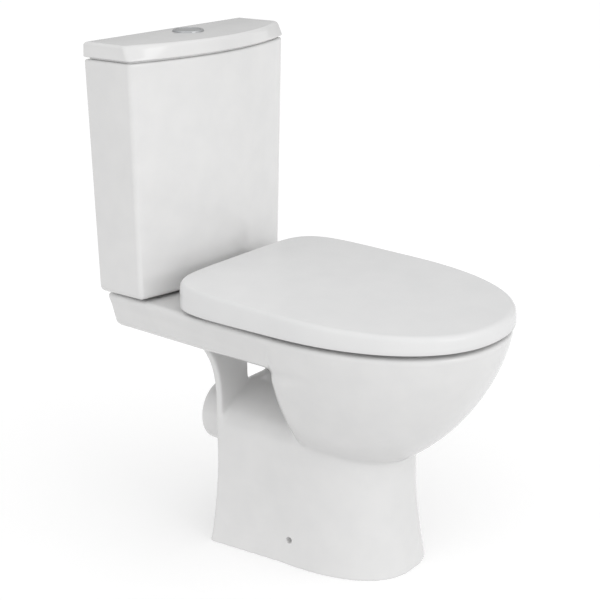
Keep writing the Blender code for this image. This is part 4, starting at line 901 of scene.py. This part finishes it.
def make_cover():
    """Wrap-over cover: a moulded shell with a rolled upper edge and a soft lower lip."""
    levels = [(0.0, 0.0012), (0.02, 0.0004), (0.05, 0.0), (0.30, 0.0), (0.55, 0.0001), (0.72, 0.0004),
              (0.82, 0.0009), (0.89, 0.0017), (0.94, 0.0027), (0.975, 0.0040), (0.993, 0.0055),
              (1.0, 0.0075)]
    cover = loft("cover_shell", [cover_ring(share, inset) for share, inset in levels])
    half, front = COVER_HALF - COVER_WALL, COVER_FRONT - COVER_WALL
    rear = COVER_REAR - COVER_WALL
    inside = [egg(half - i, front - i, rear - i, 0.0, COVER_REAR_POWER, 220, COVER_POWER)
              for i in (0.0, 0.0, 0.003)]
    drops = (None, COVER_WALL + 0.003, COVER_WALL)
    hollow = [[(x, y, COVER_Z - 0.01 if drop is None else cover_top(y) - drop) for x, y, _ in plan]
              for plan, drop in zip(inside, drops)]
    swing = block("cover_swing", (-0.2, HINGE_Y, COVER_Z - 0.02), (0.2, HINGE_Y + 0.06, HINGE_Z))
    cut(swing, rod("swing_round", COVER_SWING_R, (-0.25, HINGE_Y, HINGE_Z), (0.25, HINGE_Y, HINGE_Z), 96))
    cut(cover, loft("cover_inside", hollow), swing)
    rear_y = RIM_Y + COVER_REAR
    for side in (-1, 1):
        near = HINGE_X + POST_HALF + LUG_GAP
        far = HINGE_X - POST_HALF - LUG_GAP - LUG_THICK - LUG_GAP
        x_low, x_high = sorted((side * near, side * far))
        cut(cover, block("post_notch", (x_low, HINGE_Y + HINGE_R + LUG_GAP, COVER_Z - 0.01),
                         (x_high, rear_y + 0.01, cover_top(rear_y) - COVER_WALL)))
    add_eyes(cover, "cover")
    shade(cover, 40)
    return finish_piece(cover, "cover", "seat_plastic", THERMOSET, "seat_cover")


def make_ring():
    """Seat ring with a crowned top that falls away into the opening."""
    half = COVER_HALF - COVER_WALL - RING_CLEAR
    front = COVER_FRONT - COVER_WALL - RING_CLEAR
    rear = HINGE_Y - RING_BACK - RIM_Y
    low, high = RING_Z, RING_Z + RING_THICK
    levels = sorted((low + drop, inset) for inset, drop in fillet(0.003, 5))
    crown = [(0.0, 0.0), (0.10, 0.0006), (0.25, 0.0014), (0.45, 0.0025), (0.65, 0.0040), (0.82, 0.0058),
             (0.94, 0.0085), (1.0, 0.0125)]
    edge = high - RING_CROWN
    levels += [(edge + RING_CROWN * rise, inset) for rise, inset in crown]
    ring = loft("ring_moulding", [egg(half - i, front - i, rear - i, z, COVER_REAR_POWER, 220)
                                  for z, i in levels])
    inside = [(low - 0.001, 0.002), (low + 0.0015, 0.0), (low + 0.007, 0.0)]
    inside += [(edge + RING_CROWN * rise, 1.2 * inset) for rise, inset in crown]
    inside.append((high + 0.001, 0.0175))
    cut(ring, loft("ring_opening", [egg(RING_OPEN[0] + i, RING_OPEN[1] + i, RING_OPEN[2] + i, z, 2.6, 180)
                                    for z, i in inside]))
    notch, clear = POST_FOOT_R + 0.0035, POST_FOOT_R + 0.0060
    for side in (-1, 1):
        x = side * HINGE_X
        cut(ring, block("post_notch", (x - notch, HINGE_Y - clear, low - 0.01),
                        (x + notch, HINGE_Y + 0.02, high + 0.01)))
    add_eyes(ring, "ring")
    shade(ring, 40)
    return finish_piece(ring, "ring", "seat_plastic", THERMOSET, "seat_ring")


# ------------------------------------------------------------------ smaller fittings
SUBPART_SLOT = {part["node"]: part["material_slot"] for part in frame["record"]["subparts"]}
NODE_BODY = {node: body for body, nodes in frame["record"]["behaviour"]["bodies"].items()
             for node in nodes}
ROLLED = (
    "button_nut", "flush_valve_tower", "flush_valve_base", "overflow_stem", "fill_valve_body",
    "fill_valve_cap", "float_arm", "float_cup", "tank_bolt_wing_nut_left", "tank_bolt_wing_nut_right",
    "hinge_wing_nut_left", "hinge_wing_nut_right", "hinge_post_left", "hinge_post_right",
)


def refined(node, width=0.0005):
    """A moulded or pressed fitting, from its CAD solid, with its sharp edges rolled."""
    source = frame["nodes"][node]
    bm = bmesh.new()
    bm.from_mesh(source.data)
    bmesh.ops.remove_doubles(bm, verts=bm.verts, dist=0.000002)
    bmesh.ops.dissolve_limit(bm, angle_limit=math.radians(1), verts=bm.verts, edges=bm.edges)
    piece = as_object(f"{node}_fine", bm)
    step = piece.modifiers.new("edges", "BEVEL")
    step.width = width
    step.segments = 3
    step.limit_method = "ANGLE"
    step.angle_limit = math.radians(50)
    step.use_clamp_overlap = True
    settle(piece)
    shade(piece, 32)
    slot = SUBPART_SLOT[node]
    return finish_piece(piece, NODE_BODY[node], slot, SLOT_MATERIAL[slot], node)


def paint_frame():
    """Give every CAD node its procedural material."""
    for node, obj in frame["nodes"].items():
        material = SLOT_MATERIAL[SUBPART_SLOT[node]]
        if not obj.material_slots:
            obj.data.materials.append(material)
        for place in obj.material_slots:
            place.material = material


# ------------------------------------------------------------------ studio
CAMERA_LENS = 82.89
CAMERA_PLACE = (-1.6009, -1.1812, 1.0654)
CAMERA_AXES = (                         # its right, up and backward directions
    (0.60672, -0.79490, -0.00538),
    (0.25468, 0.18797, 0.94858),
    (-0.75301, -0.57689, 0.31649),
)


def make_camera():
    """Camera in front of the bowl and to one side, a little above the lid."""
    data = bpy.data.cameras.new("view")
    data.lens = CAMERA_LENS
    data.sensor_width = 36.0
    camera = bpy.data.objects.new("view", data)
    turn = Matrix(CAMERA_AXES).transposed().to_4x4()
    camera.matrix_world = Matrix.Translation(CAMERA_PLACE) @ turn
    bpy.context.scene.collection.objects.link(camera)
    bpy.context.scene.camera = camera


def soft_box(name, place, target, size, power_):
    data = bpy.data.lights.new(name, "AREA")
    data.shape = "RECTANGLE"
    data.size, data.size_y = size
    data.energy = power_
    lamp = bpy.data.objects.new(name, data)
    lamp.location = place
    lamp.rotation_euler = (Vector(target) - Vector(place)).to_track_quat("-Z", "Y").to_euler()
    bpy.context.scene.collection.objects.link(lamp)


def sky():
    """Studio sky that is brightest in front of the object and falls off behind it."""
    world = bpy.data.worlds.new("studio")
    bpy.context.scene.world = world
    world.use_nodes = True
    tree = world.node_tree
    coords = tree.nodes.new("ShaderNodeTexCoord")
    facing = tree.nodes.new("ShaderNodeVectorMath")
    facing.operation = "DOT_PRODUCT"
    facing.inputs[1].default_value = Vector(SKY_FRONT).normalized()
    share = tree.nodes.new("ShaderNodeMapRange")
    share.inputs["From Min"].default_value = -1.0
    band = tree.nodes.new("ShaderNodeValToRGB")
    tree.links.new(coords.outputs["Generated"], facing.inputs[0])
    tree.links.new(facing.outputs["Value"], share.inputs["Value"])
    tree.links.new(share.outputs["Result"], band.inputs["Fac"])
    elements = band.color_ramp.elements
    while len(elements) < len(SKY_STOPS):
        elements.new(0.5)
    for element, (place, level) in zip(elements, SKY_STOPS):
        element.position = place
        element.color = (level, level, level, 1.0)
    background = tree.nodes["Background"]
    tree.links.new(band.outputs["Color"], background.inputs["Color"])
    background.inputs["Strength"].default_value = SKY_STRENGTH


def make_studio():
    bpy.context.scene.view_settings.view_transform = "Standard"
    sky()
    soft_box("front_box", (-0.3, -2.8, 1.3), (0, 0, 0.4), (1.4, 1.4), 8)
    soft_box("side_box", (-2.6, 0.4, 1.3), (0, 0, 0.4), (1.0, 1.2), 1)
    bm = bmesh.new()
    bmesh.ops.create_grid(bm, x_segments=1, y_segments=1, size=20.0)
    floor = as_object("floor", bm)
    made, _, shader = nodes_of("pale_floor")
    shader.inputs["Base Color"].default_value = (0.80, 0.80, 0.80, 1.0)
    shader.inputs["Roughness"].default_value = 0.9
    shader.inputs["Emission Color"].default_value = (1.0, 1.0, 1.0, 1.0)
    shader.inputs["Emission Strength"].default_value = FLOOR_GLOW
    floor.data.materials.append(made)
    floor.visible_diffuse = False


make_camera()
paint_frame()
make_pan()
make_tank()
make_lid()
make_collar()
make_button("full_flush", 1)
make_button("half_flush", -1)
make_cover()
make_ring()
for fitting in ROLLED:
    refined(fitting)
make_studio()
